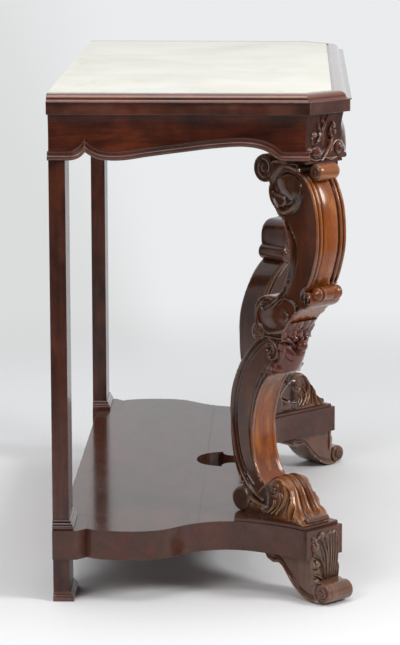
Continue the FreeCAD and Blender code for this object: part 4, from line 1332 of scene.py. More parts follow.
@dataclass
class Frieze:
    """Scalloped aprons with a hollow face, their beads, and a sprig on each canted corner."""

    plan: Plan
    axes: LegAxes
    face_inset: float = 13.2
    hollow: float = 5.6
    bead_out: float = 5.0
    bead_round: float = 4.6
    bead_crease: float = 50.0
    ground_reach: float = 2.83
    sprig_sunk: float = 1.4
    sprig_scale: float = 1.1
    sprig_root: float = 6.0
    mitre: float = 22.0
    most_lean: float = 1.7

    def face_at(self, height: Array) -> Array:
        """Inset of the hollow face: a parabola through its top, middle and bottom."""
        low, high = (corner[2] for corner in in_mm("frieze_cant_left"))
        share = (height - low) / (high - low)
        deep = self.hollow * 4 * share * (1 - share)
        return self.face_inset + deep + (1 - share) * self.hollow / 3 * (1 - share)

    def bead_profile(self) -> Array:
        """Bead section as (inset, distance above the edge): round, hollow and fillet."""
        front = self.face_inset - self.bead_out
        centre = front + self.bead_round
        arc = np.linspace(-1.5, 1.35, 16)
        rounds = np.stack([centre - self.bead_round * np.cos(arc),
                           self.bead_round * (1.05 + np.sin(arc))], axis=1)
        start = rounds[-1]
        cove = np.linspace(0.2, math.pi / 2, 7)
        hollows = np.stack([start[0] + np.sin(2 * cove), start[1] + 3.6 * (1 - np.cos(cove))],
                           axis=1)
        fillet = rounded([(front + 3.2, start[1] + 3.9), (front + 2.6, start[1] + 5.2),
                          (front + 9.5, start[1] + 6.4)], 0.5)
        back = np.array([[self.face_inset + 9, start[1] + 6.4], [self.face_inset + 9, 0.0]])
        return np.vstack([rounds, hollows, fillet, back])

    def side_edge(self) -> tuple[list[tuple[float, float]], list[tuple[float, float]]]:
        """The side's scalloped edge as (depth from the back, rise): a lobe, then a long arch."""
        reach = self.plan.back - self.plan.front - self.plan.cant
        lobe = [(0.3, 0.0), (28, 0.0), (40, 0.4), (49, 2.4), (56, 6.0), (60.6, 9.8), (64, 13.9)]
        arch = [(64, 13.9), (73, 8.0), (87, 2.5), (110, 0.0), (135, 1.4), (164, 6.0),
                (200, 11.0), (235, 15.5), (265, 19.5), (290, 22.0), (310, 23.6), (327, 24.0),
                (345, 22.5), (360, 19.0), (370, 14.6), (377, 10.0), (384, 4.6), (391, 1.0),
                (401, 0.0), (420, 0.0), (reach - 0.2, 0.0)]
        return lobe, arch

    def bead(self, line: Array, mitre_start: bool, mitre_finish: bool,
             place: Callable[[Array, Array, Array], Array]) -> Draft:
        """A bead along a scalloped edge, square to it but upright at a mitre.

        Args:
            line: the edge (n, 2), as distance along the board and height.
            mitre_start: whether its first point is a mitre.
            mitre_finish: whether its last point is one.
            place: gives table points of distance along, inset and height.

        Returns:
            The bead.
        """
        along = unit(np.gradient(line, axis=0))
        square = np.stack([-along[:, 1], along[:, 0]], axis=1)
        square *= np.sign(square[:, 1:] + 1e-9)
        far = np.concatenate([[0], np.cumsum(np.linalg.norm(np.diff(line, axis=0), axis=1))])
        lean = np.zeros(len(line))
        if mitre_start:
            lean = np.maximum(lean, 1 - smoothstep(0, self.mitre, far))
        if mitre_finish:
            lean = np.maximum(lean, 1 - smoothstep(0, self.mitre, far[-1] - far))
        upward = unit(square * (1 - lean[:, None]) + np.array([0.0, 1.0]) * lean[:, None])
        size = np.minimum(self.most_lean, 1 / (upward * square).sum(axis=1))
        profile = self.bead_profile()
        high = profile[None, :, 1] * size[:, None]
        spots = line[:, None, :] + upward[:, None, :] * high[..., None]
        inset = np.broadcast_to(profile[None, :, 0], high.shape)
        points, faces = prism(place(spots[..., 0], inset, spots[..., 1]))
        grain = np.stack([np.repeat(far, len(profile)), inset.ravel(), high.ravel()], axis=1)
        return Draft().add(points, faces, grain=grain)

    def build(self, shop: Shop) -> None:
        """Make the beads, sprigs and boards."""
        low = in_mm("apron_left")[0][2]
        lobe, arch = self.side_edge()

        def side_place(along: Array, inset: Array, height: Array) -> Array:
            """Table points on the left side."""
            return np.stack([inset - self.plan.half_width, self.plan.back - along, height + low],
                            axis=-1)

        side = self.bead(smooth_line(lobe, 50), False, True, side_place)
        side.join(self.bead(smooth_line(arch, 240), True, False, side_place))
        shop.pair("moulded_bead_left", side, "mahogany_moulded", "mahogany", self.bead_crease)

        reach = self.plan.half_width - self.plan.cant
        spots = [(-1.0, 0), (-0.95, 0), (-0.90, 0), (-0.87, 3), (-0.83, 14), (-0.76, 22),
                 (-0.64, 24), (-0.40, 17), (-0.20, 4), (-0.10, 0), (0, 0)]
        spots += [(-share, rise) for share, rise in spots[-2::-1]]
        front_line = smooth_line([(share * reach, rise) for share, rise in spots], 420)

        def front_place(along: Array, inset: Array, height: Array) -> Array:
            """Table points on the front."""
            return np.stack([along, self.plan.front + inset, height + low], axis=-1)

        front = self.bead(front_line, False, False, front_place)
        shop.piece("moulded_bead_front", front, "mahogany_moulded", "mahogany",
                   self.bead_crease)

        self.sprig(shop)
        for finish, slot, width, nodes in (
                ("mahogany_deep", "mahogany", 0.5, ("apron_left", "apron_right")),
                ("mahogany_along", "mahogany", 0.5, ("apron_front",)),
                ("mahogany_upright", "mahogany", 0.5, ("frieze_cant_left", "frieze_cant_right")),
                ("pine_stained", "pine", 0.6, ("corner_cap_left", "corner_cap_right")),
                ("pine_along", "pine", 0.6, ("back_rail", "glue_blocks")),
                ("pine_deep", "pine", 0.8, ("cross_batten_left", "cross_batten_right"))):
            for node in nodes:
                shop.softened(node, finish, width)

    def sprig(self, shop: Shop) -> None:
        """Carve the sprig: a forked leaf over a pair of volutes, standing on the hollow face."""
        outline = eased(np.array(SPRIG_RING, float), 1.4)
        spots, triangles = filled(outline, RELIEF_PITCH)
        flat = np.vstack([outline, spots])
        height = carved(flat, SPRIG)
        reach = (self.ground_reach - self.face_at(flat[:, 1]) - self.sprig_sunk
                 + height * self.sprig_scale)
        draft = low_relief(flat, triangles, len(outline), reach, reach.min() - self.sprig_root)
        shop.carved_pair("corner_leaf", draft, self.axes, "mahogany_sprig", 60)


# ------------------------------------------------------------------ shelf, posts and feet

@dataclass
class Shelf:
    """The serpentine shelf: boards, blocks and arms, and the plates under the legs."""

    boards: tuple[str, ...] = ("shelf_rear_board", "shelf_front_board_left",
                               "shelf_front_board_right")
    ends: tuple[str, ...] = ("shelf_end_block", "shelf_arm", "leg_plate")
    ease: float = 0.6

    def build(self, shop: Shop) -> None:
        """Ease the edges of every piece and lay the grain along the table."""
        for node in self.boards:
            shop.softened(node, "mahogany_shelf", self.ease)
        for stem in self.ends:
            for side in SIDES:
                shop.softened(f"{stem}_{side}", "mahogany_shelf", self.ease)


@dataclass
class Rear:
    """Flat posts and feet with a small moulding round their bases."""

    plinth: float = 6.0
    ease: float = 0.7

    def moulding(self, node: str, core: str) -> Draft:
        """Base moulding round three sides of a post, as (out from the post, height).

        Every section point runs along a U: back left, front left, front right, back right.

        Args:
            node: the base's node.
            core: the post inside it.

        Returns:
            The moulding.
        """
        low, high = in_mm(node)
        post_low, post_high = in_mm(core)
        proud = post_low[0] - low[0]
        tall = high[2] - low[2]
        section = rounded([(-1.0, 0), (proud, 0), (proud, self.plinth),
                           (proud - 1.6, self.plinth + 0.9), (proud - 1.8, self.plinth + 3.4),
                           (proud - 4.2, self.plinth + 5.0), (proud - 4.6, tall - 2.6),
                           (proud - 6.2, tall - 1.6), (proud - 6.6, tall), (-1.0, tall)], 0.9)
        out, up = section[:, 0], section[:, 1] + low[2]
        back = np.full_like(out, high[1])
        left, right, front = post_low[0] - out, post_high[0] + out, post_low[1] - out
        loops = np.stack([np.stack(spot, axis=1) for spot in (
            (left, back, up), (left, front, up), (right, front, up), (right, back, up))])
        points, faces = prism(loops)
        return Draft().add(points, faces)

    def build(self, shop: Shop) -> None:
        """Make the mouldings and ease the timbers."""
        for side in SIDES:
            for stem, core in (("post_base", "rear_post"), ("rear_foot_base", "rear_foot")):
                node = f"{stem}_{side}"
                shop.piece(f"moulded_{node}", self.moulding(node, f"{core}_{side}"),
                           "mahogany_moulded", "mahogany")
                shop.softened(f"{core}_{side}", "mahogany_upright", self.ease)


# ------------------------------------------------------------------ scroll legs

def roll(centre: tuple[float, float], radius: float, half: float, coil: float,
         belly: float = 0.0, ease: float = 2.0, gap: float = 0.27) -> Draft:
    """A short scroll of wood lying across the leg, with a coil cut into each end.

    Its rim is a quarter circle of radius ease and its body swells by belly in the middle;
    the coil is a groove whose radius grows evenly with the angle.

    Args:
        centre: reach and height of its axis.
        radius: its radius.
        half: half its length.
        coil: depth of the coil's groove.
        belly: how much fatter it is in the middle.
        ease: how far its rim is rounded.
        gap: how far the coil's turns lie apart, as a share of the radius.

    Returns:
        The roll, in leg axes.
    """
    rings, steps, stations, turns = 22, 8, 16, 72
    face = np.linspace(0.04, 1, rings) * (radius - ease)
    bow = np.linspace(0, math.pi / 2, steps)[1:]
    body = np.linspace(half - ease, ease - half, stations)[1:-1]
    rim_across, rim_radius = half - ease * (1 - np.cos(bow)), radius - ease * (1 - np.sin(bow))
    swell = radius + belly * (1 - (body / half) ** 2)
    flat = np.full(len(face), half)
    across = np.concatenate([[half], flat, rim_across, body, -rim_across[::-1], -flat, [-half]])
    radii = np.concatenate([[0], face, rim_radius, swell, rim_radius[::-1], face[::-1], [0]])

    def groove(spot: Array, angle: Array) -> Array:
        """Depth of the coil's groove at a radius and angle of an end."""
        phase = spot / (radius * gap) - angle / (2 * math.pi)
        near = np.abs(phase - np.round(phase)) * 2
        cut = np.clip(1 - (near / 0.6) ** 2, 0, 1) * smoothstep(0.15, 0.3, spot / radius)
        return coil * cut * (1 - smoothstep(0.86, 0.95, spot / radius))

    points, faces = revolved(across, radii, turns, groove)
    placed = points + np.array([centre[0], 0.0, centre[1]])
    return Draft().add(placed, faces, grain=placed[:, [1, 0, 2]])


def knob(centre: tuple[float, float, float], radii: tuple[float, float, float],
         ribs: float = 0.0) -> Draft:
    """An oval swelling lying across the leg, ringed by ribs towards its outer end.

    Its section is sin a, times 1 + rib_depth (cos(2 ribs a) - 1) over the outer half.

    Args:
        centre: reach, place across and height of its middle.
        radii: its radius along each axis.
        ribs: how many ribs fit half way round.

    Returns:
        The swelling, in leg axes.
    """
    rib_depth, stations, turns = 0.09, 61, 48
    bow = np.linspace(0, math.pi, stations)
    ring = 1 + rib_depth * (np.cos(2 * ribs * bow) - 1) * (np.cos(bow) > 0)
    points, faces = revolved(np.cos(bow), np.sin(bow) * ring, turns)
    side = np.sign(centre[1]) or 1.0
    placed = points * np.array([radii[0], radii[1] * side, radii[2]]) + np.array(centre)
    return Draft().add(placed, faces, grain=placed[:, [1, 0, 2]])


def both_sides(cuts: Sequence[Carving]) -> list[Carving]:
    """Carving drawn on one half of a front, and its mirror image across."""
    made: list[Carving] = []
    for cut in cuts:
        if isinstance(cut, Stroke):
            points = tuple((-across, height) for across, height in cut.points)
            made += [cut, replace(cut, points=points)]
        else:
            centre = (-cut.centre[0], cut.centre[1])
            made += [cut, replace(cut, centre=centre, tilt=-cut.tilt)]
    return made


def reeds(half: float, spot: float) -> float:
    """Depth of a scroll's reeded front: fillet, groove, bead, groove and broad bowed band.

    Args:
        half: half the scroll's width.
        spot: distance from the middle.

    Returns:
        How far the face lies in.
    """
    fillet, groove, bead = 0.12 * half, 0.09 * half, 0.21 * half
    deep, low, proud, bow = 3.4, 0.6, 0.2, 3.0
    spot = abs(spot)
    first, second = half - fillet, half - fillet - groove
    third, fourth = second - bead, second - bead - groove
    if spot > first:
        return -low * (1 - ((half - spot) / fillet * 2 - 1) ** 2)
    if spot > second:
        return deep * math.sin(math.pi * (first - spot) / (2 * groove))
    if spot > third:
        share = (spot - (second + third) / 2) / (bead / 2)
        return deep - (deep + proud) * math.sqrt(max(0.0, 1 - share ** 2))
    if spot > fourth:
        return deep - low * (third - spot) / groove
    return deep - low - bow * math.sqrt(max(0.0, 1 - (spot / fourth) ** 2))


# the upper scroll's sides
UPPER_CUTS = (
    # bead along the hollow back edge, running out into the lower volute
    Stroke(((-82, 667), (-64, 651), (-51.5, 630), (-46.8, 609), (-48.8, 583), (-59.5, 551),
        (-74, 530), (-90, 514), (-114, 499)), 7.0, 5.0, 0.8, 0.5),
    Stroke(((-74, 662), (-57, 647), (-44.5, 628), (-40, 608), (-42, 582), (-52.5, 548), (-66, 527),
        (-84, 509)), 5.0, -2.6, 0.5, 0.4),
    # upper volute: a broad rim, a domed lobe inside it and a hook that curls in below
    Stroke(((-40, 746), (-52, 750), (-66, 750), (-85, 739), (-96, 722), (-98, 705), (-94, 690),
        (-83, 677)), 11.0, 3.6, 0.8, 0.7),
    Stroke(((-80, 704), (-86, 713), (-84, 726), (-74, 734), (-59, 738), (-44, 736), (-31, 729)),
        6.0, -4.4, 0.5, 0.15), Boss((-54, 716), (36, 22), 6.4, -16, 1.0),
    Stroke(((-28, 720), (-27, 706), (-34, 690), (-49, 677), (-67, 670), (-81, 674)),
        13.0, 5.4, 0.3, 0.6),
    Stroke(((-42, 704), (-45, 693), (-55, 684), (-67, 680)), 4.4, -2.6, 0.5, 0.5),
    Stroke(((-96, 702), (-84, 699), (-71, 698), (-64, 691), (-69, 683), (-79, 680)),
        8.0, 3.6, 0.5, 0.5),
    # lower volute: two hooks that meet over a flat dome
    Stroke(((-96, 518), (-108, 518), (-124, 509), (-132, 495), (-130, 478), (-120, 466),
        (-104, 459), (-82, 461), (-61, 469), (-47, 485), (-40, 500), (-39, 510), (-47, 519),
        (-60, 523), (-74, 520), (-87, 511), (-95, 503)), 6.6, 4.0, 0.4, 0.5),
    Stroke(((-108, 512), (-120, 509), (-122, 501), (-115, 496)), 5.4, 3.6, 0.6, 0.5),
    Boss((-88, 488), (36, 21), 3.4, 6, 1.5),
    Stroke(((-66, 501), (-58, 494), (-61, 485), (-78, 475)), 5.0, 2.6, 0.4, 0.4),
    # shell ribs where the middle roll meets the side
    Stroke(((-25, 523), (-25, 536), (-17, 546), (-4, 550)), 5.4, 4.0, 0.5, 0.5),
    Stroke(((-16, 521), (-16, 533), (-9, 541), (3, 545)), 5.4, 5.0, 0.5, 0.5),
    Stroke(((-7, 520), (-7, 529), (-1, 536), (9, 539)), 5.4, 5.4, 0.5, 0.5),
)

# the lower scroll's sides: a bead and a groove along each edge, and a curl at the top
LOWER_CUTS = (
    Stroke(((-126, 446), (-146, 431), (-165, 411), (-183, 382), (-195, 350), (-200, 318),
        (-200, 285), (-195, 250), (-186, 219), (-171, 192), (-152, 172), (-124, 158)),
        7.4, 5.2, 0.9, 0.9),
    Stroke(((-122, 438), (-141, 422), (-158, 404), (-176, 376), (-187, 346), (-191.5, 317),
        (-191.5, 285), (-187, 254), (-179, 226), (-165, 200), (-148, 182)), 5.0, -2.8, 0.8, 0.6),
    Stroke(((-98, 402), (-119, 384), (-141, 348), (-150, 318), (-153.5, 285), (-149, 240),
        (-137, 211), (-124, 194)), 5.0, 3.6, 0.5, 0.8),
    Stroke(((-106, 408), (-125, 388), (-147, 350), (-157, 316), (-160, 284), (-155, 241),
        (-143, 209), (-130, 190)), 4.2, -2.4, 0.5, 0.6),
    Stroke(((-126, 448), (-108, 446), (-96, 440), (-89, 429), (-92, 416), (-103, 410), (-112, 416),
        (-109, 424)), 7.0, 4.6, 0.9, 0.5), Boss((-110, 429), (10, 8), -2.8),
)

# the knuckle's front, as (across, height)
PETALS = both_sides([
    Stroke(((38, 393), (20, 389), (0, 388)), 13.0, 3.6, 1.0, 1.0),
    Boss((10, 474), (11, 11), 6.5, -20), Boss((28, 474), (10, 12), 6.0, -10),
    Boss((19, 461), (10.5, 10), 8.5, 15), Boss((35, 459), (7, 11), 6.0, -6),
    Boss((0, 459), (9.5, 9), 7.5), Boss((8, 449), (8, 6), 6.0), Boss((21, 462), (4.0, 4.0), -3.0),
    Stroke(((15, 480), (12, 472), (5, 468)), 2.4, -2.0, 0.5, 0.5),
    Stroke(((40, 448), (29, 450), (19, 445), (9, 437)), 11.0, 7.5, 0.7, 0.3),
    Stroke(((36, 437), (27, 437), (19, 432), (13, 426)), 7.0, 4.0, 0.6, 0.4),
    Stroke(((34, 428), (28, 419), (19, 414), (10, 416)), 2.8, -2.4, 0.4, 0.3),
    Stroke(((39, 442), (29, 443), (20, 438), (12, 431)), 2.6, -2.6, 0.6, 0.4),
])

# the knuckle's sides
KNUCKLE_CUTS = (
    Stroke(((-82, 432), (-76, 443), (-66, 444), (-56, 438)), 10.0, 4.6, 0.5, 0.7),
    Stroke(((-84, 458), (-72, 463), (-60, 462)), 10.0, 4.0, 0.4, 0.9),
    Stroke(((-96, 399), (-84, 394), (-70, 394)), 9.0, 3.0, 0.6, 0.9),
    Stroke(((-82, 450), (-74, 453), (-62, 452)), 3.0, -2.4, 0.4, 0.6),
    Stroke(((-78, 430), (-70, 420), (-66, 406)), 2.6, -2.0, 0.5, 0.5),
)

# the console's sides: its eye, folds round it, and fine cuts between them
CONSOLE_CUTS = [
    Boss((-96, 182), (15, 15), 4.6, 0, 0.8),
    Stroke(winding((-96, 182), 10.0, 4.0, 1.1, 150), 4.0, -2.0, finish=0.6),
    Boss((-134, 146), (22, 10), 2.4, 0, 1.0), Boss((-112, 145), (11, 9), 3.0, 0, 1.0),
] + [Stroke(points, width, height, 0.5, 0.8) for points, width, height in (
    (((-88, 205), (-74, 198), (-65, 182), (-67, 163), (-79, 144)), 9.5, 5.6),
    (((-72, 205), (-57, 192), (-48, 176), (-50, 158), (-48, 139)), 9.0, 5.2),
    (((-80, 178), (-75, 164), (-80, 152), (-92, 141)), 7.0, 4.6),
    (((-92, 164), (-90, 154), (-101, 142)), 7.0, 4.2),
    (((-54, 176), (-41, 160), (-37, 148), (-34, 139)), 7.0, 4.6),
    (((-168, 181), (-162, 173), (-147, 161), (-127, 153), (-106, 150)), 6.5, 5.0),
    (((-80, 200), (-66, 190), (-57, 174), (-59, 157), (-62, 141)), 4.0, -3.6),
    (((-76, 182), (-71, 168), (-76, 154), (-86, 142)), 3.2, -3.0),
    (((-84, 164), (-84, 154), (-94, 143)), 3.2, -3.0),
    (((-60, 190), (-46, 172), (-44, 156), (-41, 140)), 3.2, -3.0),
)]


@dataclass
class ScrollLeg:
    """One carved leg, from its bolster down to the acanthus console."""

    axes: LegAxes
    reed_span: tuple[float, float] = (545.0, 735.0)

    def half_width(self, node: str) -> float:
        """Half the width across the leg of a left-hand node."""
        return float(self.axes.local(points_of(node))[:, 1].max())

    def upper_scroll(self) -> Draft:
        """Upper C: reeded front, beaded back edge, and a volute at each end."""
        node = "leg_upper_scroll_left"
        half = self.half_width(node)
        outline = side_outline(node, half, self.axes)
        low, high = self.reed_span

        def face(spots: Array, normals: Array, share: float) -> Array:
            """Reeds on the bowed front, nothing elsewhere."""
            bowed = smoothstep(-0.1, 0.3, normals[:, 0]) * smoothstep(-45, -22, spots[:, 0])
            span = smoothstep(low, low + 10, spots[:, 1])
            span = span * smoothstep(high + 10, high - 6, spots[:, 1])
            return reeds(half, share * half) * bowed * span + 0.8 * abs(share) ** 14

        def thin(spots: Array, normals: Array) -> Array:
            """Thin polish on the bowed front, a little less below the middle roll."""
            below = smoothstep(540, 520, spots[:, 1])
            front = smoothstep(0.1, 0.5, normals[:, 0] + below * 0.6)
            front = front * smoothstep(-60, -30, spots[:, 0] + 36 * below)
            front = front * (1 - 0.3 * below)
            return front * smoothstep(742, 730, spots[:, 1]) * smoothstep(474, 488, spots[:, 1])

        made = Plate(outline, half, UPPER_CUTS, ground=2.6, border=3.0, pitch=1.4, edge=face,
                     bare=thin, dark_depth=(1.6, 4.4), courses=57).draft()
        made.join(roll((-117.0, 741.9), 23.6, 35.0, coil=0.9, ease=5.0, gap=0.45))
        made.join(roll((-130.0, 457.5), 16.5, 35.5, coil=1.0, ease=4.0, gap=0.36))
        bar = roll((0.0, 537.0), 11.5, 16.0, coil=0.0)
        for side in (1.0, -1.0):
            bar.join(knob((2.0, 18.5 * side, 537.0), (13.2, 13.5, 13.2), 3.0))
        bar.bare = [np.full_like(some, 0.75) for some in bar.bare]
        return made.join(bar)

    def lower_scroll(self) -> Draft:
        """Lower C: beads along both edges of its sides and a plain orange-brown front."""
        node = "leg_lower_scroll_left"
        half = self.half_width(node)
        outline = side_outline(node, half, self.axes)

        def face(spots: Array, normals: Array, share: float) -> Array:
            """The front is dished by 1.4 between narrow fillets."""
            front = smoothstep(0.2, 0.6, normals[:, 0])
            return front * 1.4 * (1 - smoothstep(0.84, 0.93, np.full(len(spots), abs(share))))

        def thin(spots: Array, normals: Array) -> Array:
            """Thin polish on the hollow front, less towards its top."""
            front = smoothstep(0.2, 0.6, normals[:, 0]) * smoothstep(398, 374, spots[:, 1])
            return front * (0.7 + 0.3 * smoothstep(340, 240, spots[:, 1]))

        return Plate(outline, half, LOWER_CUTS, ground=2.4, border=2.6, pitch=1.25, edge=face,
                     bare=thin, courses=31).draft()

    def knuckle(self) -> Draft:
        """Bowl of overlapping petals with a berry, where the two scrolls meet."""
        node = "leg_knuckle_leaf_left"
        outline = side_outline(node, self.half_width(node), self.axes)

        def front(spots: Array, normals: Array, share: float) -> Array:
            """The front's petals, over a bowl that swells by 12 (1 - share^2) in its middle.

            Towards the sides the front falls back by 7 |share|^2.6.
            """
            ahead = smoothstep(-0.2, 0.4, normals[:, 0])
            ahead = ahead * smoothstep(488, 476, spots[:, 1]) * smoothstep(383, 388, spots[:, 1])
            places = np.stack([share * self.knuckle_half(spots), spots[:, 1]], axis=1)
            bowl = smoothstep(384, 400, spots[:, 1]) * smoothstep(446, 420, spots[:, 1])
            swell = 7.0 * abs(share) ** 2.6 - 12.0 * bowl * (1 - share ** 2)
            return (swell - 0.85 * carved(places, PETALS)) * ahead

        made = Plate(outline, 40.0, KNUCKLE_CUTS, ground=1.6, border=2.0, pitch=1.3, edge=front,
                     width=self.knuckle_half, courses=65, soft=3.5).draft()
        return made.join(knob((-57.0, 0.0, 438.0), (10.0, 10.0, 10.0)))

    @staticmethod
    def knuckle_half(spots: Array) -> Array:
        """Half the knuckle's width: narrower above, and behind the lower scroll's curl."""
        behind = smoothstep(-64, -98, spots[:, 0]) * smoothstep(392, 414, spots[:, 1])
        return 39.0 - 4.0 * smoothstep(425, 480, spots[:, 1]) - 15.0 * behind

    def console(self) -> Draft:
        """Acanthus foot: ridges over a hood, folds round its eye, and the rolls at its ends."""
        base = in_mm("leg_plate_left")[1][2]
        hood = smooth_line([(-15, base - 1), (-17, base + 3), (-22, 141), (-32, 149), (-41, 162),
                            (-49, 179), (-58, 194), (-73, 204), (-90, 206.5), (-106, 201),
                            (-122, 188), (-134, 176), (-144, 168), (-154, 168), (-163, 171),
                            (-168, 172), (-168, base - 1)], 170)
        outline = eased(np.vstack([hood, [(-168, base - 1)]])[:-1], 1.5)

        def half_at(spots: Array) -> Array:
            """The leaves spread towards the plate, and draw in behind the lower scroll.

            Under the scroll's last bead, 151 + 0.0085 (reach + 106)^2 high, the heel fills it.
            """
            spread = 28.0 + 10.0 * smoothstep(190, base, spots[:, 1])
            bead = 151 + 0.0085 * (spots[:, 0] + 106) ** 2
            back = 28.0 + 8.5 * smoothstep(bead + 2, bead - 6, spots[:, 1])
            return spread + (back - spread) * smoothstep(-104, -122, spots[:, 0])

        def ridges(spots: Array, normals: Array, share: float) -> Array:
            """Three round ridges |cos(1.5 pi share)|^0.8 over the hood, split by fine cuts."""
            high = smoothstep(base - 1, base + 7, spots[:, 1])
            high = high * smoothstep(-132, -104, spots[:, 0])
            crest = abs(math.cos(1.5 * math.pi * share)) ** 0.8
            fine = abs(math.cos(3.0 * math.pi * share)) ** 0.5
            corner = 1 - math.sqrt(max(0.0, 1 - abs(share) ** 4))
            cut = 8.0 * (1 - crest) + 1.2 * (1 - fine)
            return high * (cut * (1 - abs(share) ** 8) + 4.4 * corner)

        def thin(spots: Array, normals: Array) -> Array:
            """Thin polish on the hood's front."""
            return 0.75 * smoothstep(-112, -70, spots[:, 0])

        made = Plate(outline, 31.0, CONSOLE_CUTS, ground=1.2, border=2.5, pitch=1.2, edge=ridges,
                     bare=thin, side_bare=0.6, dark_depth=(3.6, 7.6), width=half_at,
                     courses=97, soft=4.0).draft()
        heel = self.half_width("leg_console_left") - 1.5
        made.join(roll((-168.0, base + 22.8), 22.6, heel, coil=0.0, ease=6.0))
        return made.join(roll((-20.0, base + 5.6), 5.2, 27.0, belly=0.6, coil=0.6))

    def build(self, shop: Shop) -> None:
        """Make every carved piece of both legs."""
        _, cap_high = in_mm("leg_top_roll_left")
        bolster = roll((-5.0, cap_high[2] - 13.6), 14.2, 26.0, belly=0.4, coil=1.0,
                       ease=8.0)
        # The bolster has thin polish except towards its +across end, which stays dark as painted
        # shade.
        bolster.bare = [smoothstep(25.0, 20.0, bolster.grain[0][:, 0]) * 0.85]
        for stem, made, finish, crease in (
                ("leg_upper_scroll", self.upper_scroll(), "mahogany_carved", 50),
                ("leg_lower_scroll", self.lower_scroll(), "mahogany_carved", 50),
                ("leg_knuckle_leaf", self.knuckle(), "mahogany_knuckle", 70),
                ("leg_console", self.console(), "mahogany_console", 70),
                ("leg_top_roll", bolster, "mahogany_carved", 60)):
            shop.carved_pair(stem, made, self.axes, finish, crease)


# the foot's sides
FOOT_CUTS = (
    Stroke(((-110, 66), (-104, 60), (-92, 57.5), (-77, 57.5), (-60, 42), (-44, 25), (-26, 12),
        (-4, 4.5), (18, 4)), 7.5, 3.2, 0.9, 0.9),
    Stroke(((-98, 67), (-79, 65), (-62, 51), (-46, 34), (-28, 20), (-6, 12.5), (8, 12)),
        4.4, -1.8, 0.6, 0.5), Boss((27, 20), (24, 22), -8.0),
)

# the foot's leaf: its outline and carving, as (across, height)
LEAF_RING = (
    (-31, 32), (0, 33), (14, 30), (22, 27), (29, 31), (31.5, 39), (30, 47), (28, 51), (31, 56),
    (32, 64), (31.5, 76), (28, 83), (27.5, 88), (31, 94), (31.5, 104), (30, 116), (24, 114),
    (20, 110), (14, 117), (8, 123), (2, 121), (-3, 113), (-8, 117), (-13, 121), (-18, 117),
    (-24, 120), (-29, 114), (-32, 104), (-31, 95), (-33, 88), (-31, 77), (-31, 64), (-33, 52),
    (-32, 40), (-31, 32),
)

LEAF_CUTS = [Stroke(points, width, height, 0.6, 0.6) for points, width, height in (
    (((20, 114), (9, 104), (3, 93), (-1, 78), (-2, 57), (-2, 36)), 5.0, 5.2),
    (((25, 108), (14, 99), (8, 88), (4, 74), (3, 57), (2, 38)), 4.0, 3.6),
    (((30, 84), (17, 77), (9, 67), (5, 55), (3, 40)), 5.0, 5.4),
    (((30, 79), (19, 71), (12, 61), (8, 48)), 4.0, 3.6),
    (((29, 50), (18, 45), (11, 39), (7, 33)), 5.0, 5.4),
    (((29, 45), (20, 40), (14, 34)), 4.0, 3.6),
    (((6, 121), (0, 108), (-4, 94), (-5, 70), (-5, 36)), 4.6, 4.6),
    (((-11, 119), (-12, 100), (-11, 70), (-9, 36)), 4.6, 4.4),
    (((-18, 115), (-18, 96), (-16, 68), (-14, 35)), 4.4, 4.2),
    (((-25, 117), (-24, 96), (-22, 68), (-19, 35)), 4.4, 4.2),
    (((-30, 108), (-29, 90), (-27, 66), (-24, 34)), 4.2, 4.0),
    (((-31, 74), (-31, 60), (-29, 34)), 4.0, 3.6),
)] + [
    Boss((24, 98), (8, 9), 5.0, -20), Boss((23, 66), (9, 8), 5.0, -20),
    Boss((24, 35), (7.5, 6.5), 5.4), Boss((28, 89), (5.5, 4.0), 5.0),
    Boss((28, 54), (5.5, 4.0), 5.0), Boss((27, 111), (4.5, 6.0), 4.6),
    Boss((10, 116), (6.0, 7.0), 4.6, 20), Boss((28, 103), (2.2, 5.0), -2.4),
    Boss((28, 70), (2.2, 5.0), -2.4),
]


@dataclass
class FrontFoot:
    """Bracket foot with a rolled toe, and the leaf carved over it and the arm's end."""

    axes: LegAxes
    half: float = 31.0
    toe: tuple[float, float] = (24.8, 20.0)
    proud: float = 8.0
    leaf_ground: float = 2.2
    leaf_least: float = 0.6
    leaf_behind: float = 3.0

    def foot(self) -> Draft:
        """The foot: a moulded rim along its lower curve and a coiled toe."""
        outline = side_outline("front_foot_left", self.half, self.axes)
        made = Plate(outline, self.half, FOOT_CUTS, ground=2.0, border=2.4, pitch=1.3, courses=21,
                     soft=1.4).draft()
        made.join(roll(self.toe, 16.8, self.half - 1.5, coil=0.0, ease=3.0))
        made.join(roll(self.toe, 9.8, self.half + 2.5, coil=2.2, ease=2.4, gap=0.5))
        return made.join(roll((-103.0, 66.0), 9.0, self.half, coil=1.2))

    def leaf(self) -> Draft:
        """Acanthus leaf: three curled lobes on its outer half, a fan of ribs on the other."""
        outline = eased(divided(np.array(LEAF_RING, float), 240)[:-1], 1.2)
        spots, triangles = filled(outline, RELIEF_PITCH)
        flat = np.vstack([outline, spots])
        margin = np.concatenate([np.zeros(len(outline)), edge_distance(spots, outline)])
        height = np.clip(self.leaf_ground + carved(flat, LEAF_CUTS), self.leaf_least, self.proud)
        height = height * smoothstep(-0.9, 2.0, margin)
        return low_relief(flat, triangles, len(outline), height, -self.leaf_behind)

    def build(self, shop: Shop) -> None:
        """Make both feet and their leaves."""
        shop.carved_pair("front_foot", self.foot(), self.axes, "mahogany_foot", 50)
        shop.carved_pair("foot_leaf", self.leaf(), self.axes, "mahogany_foot", 70)


# ------------------------------------------------------------------ studio

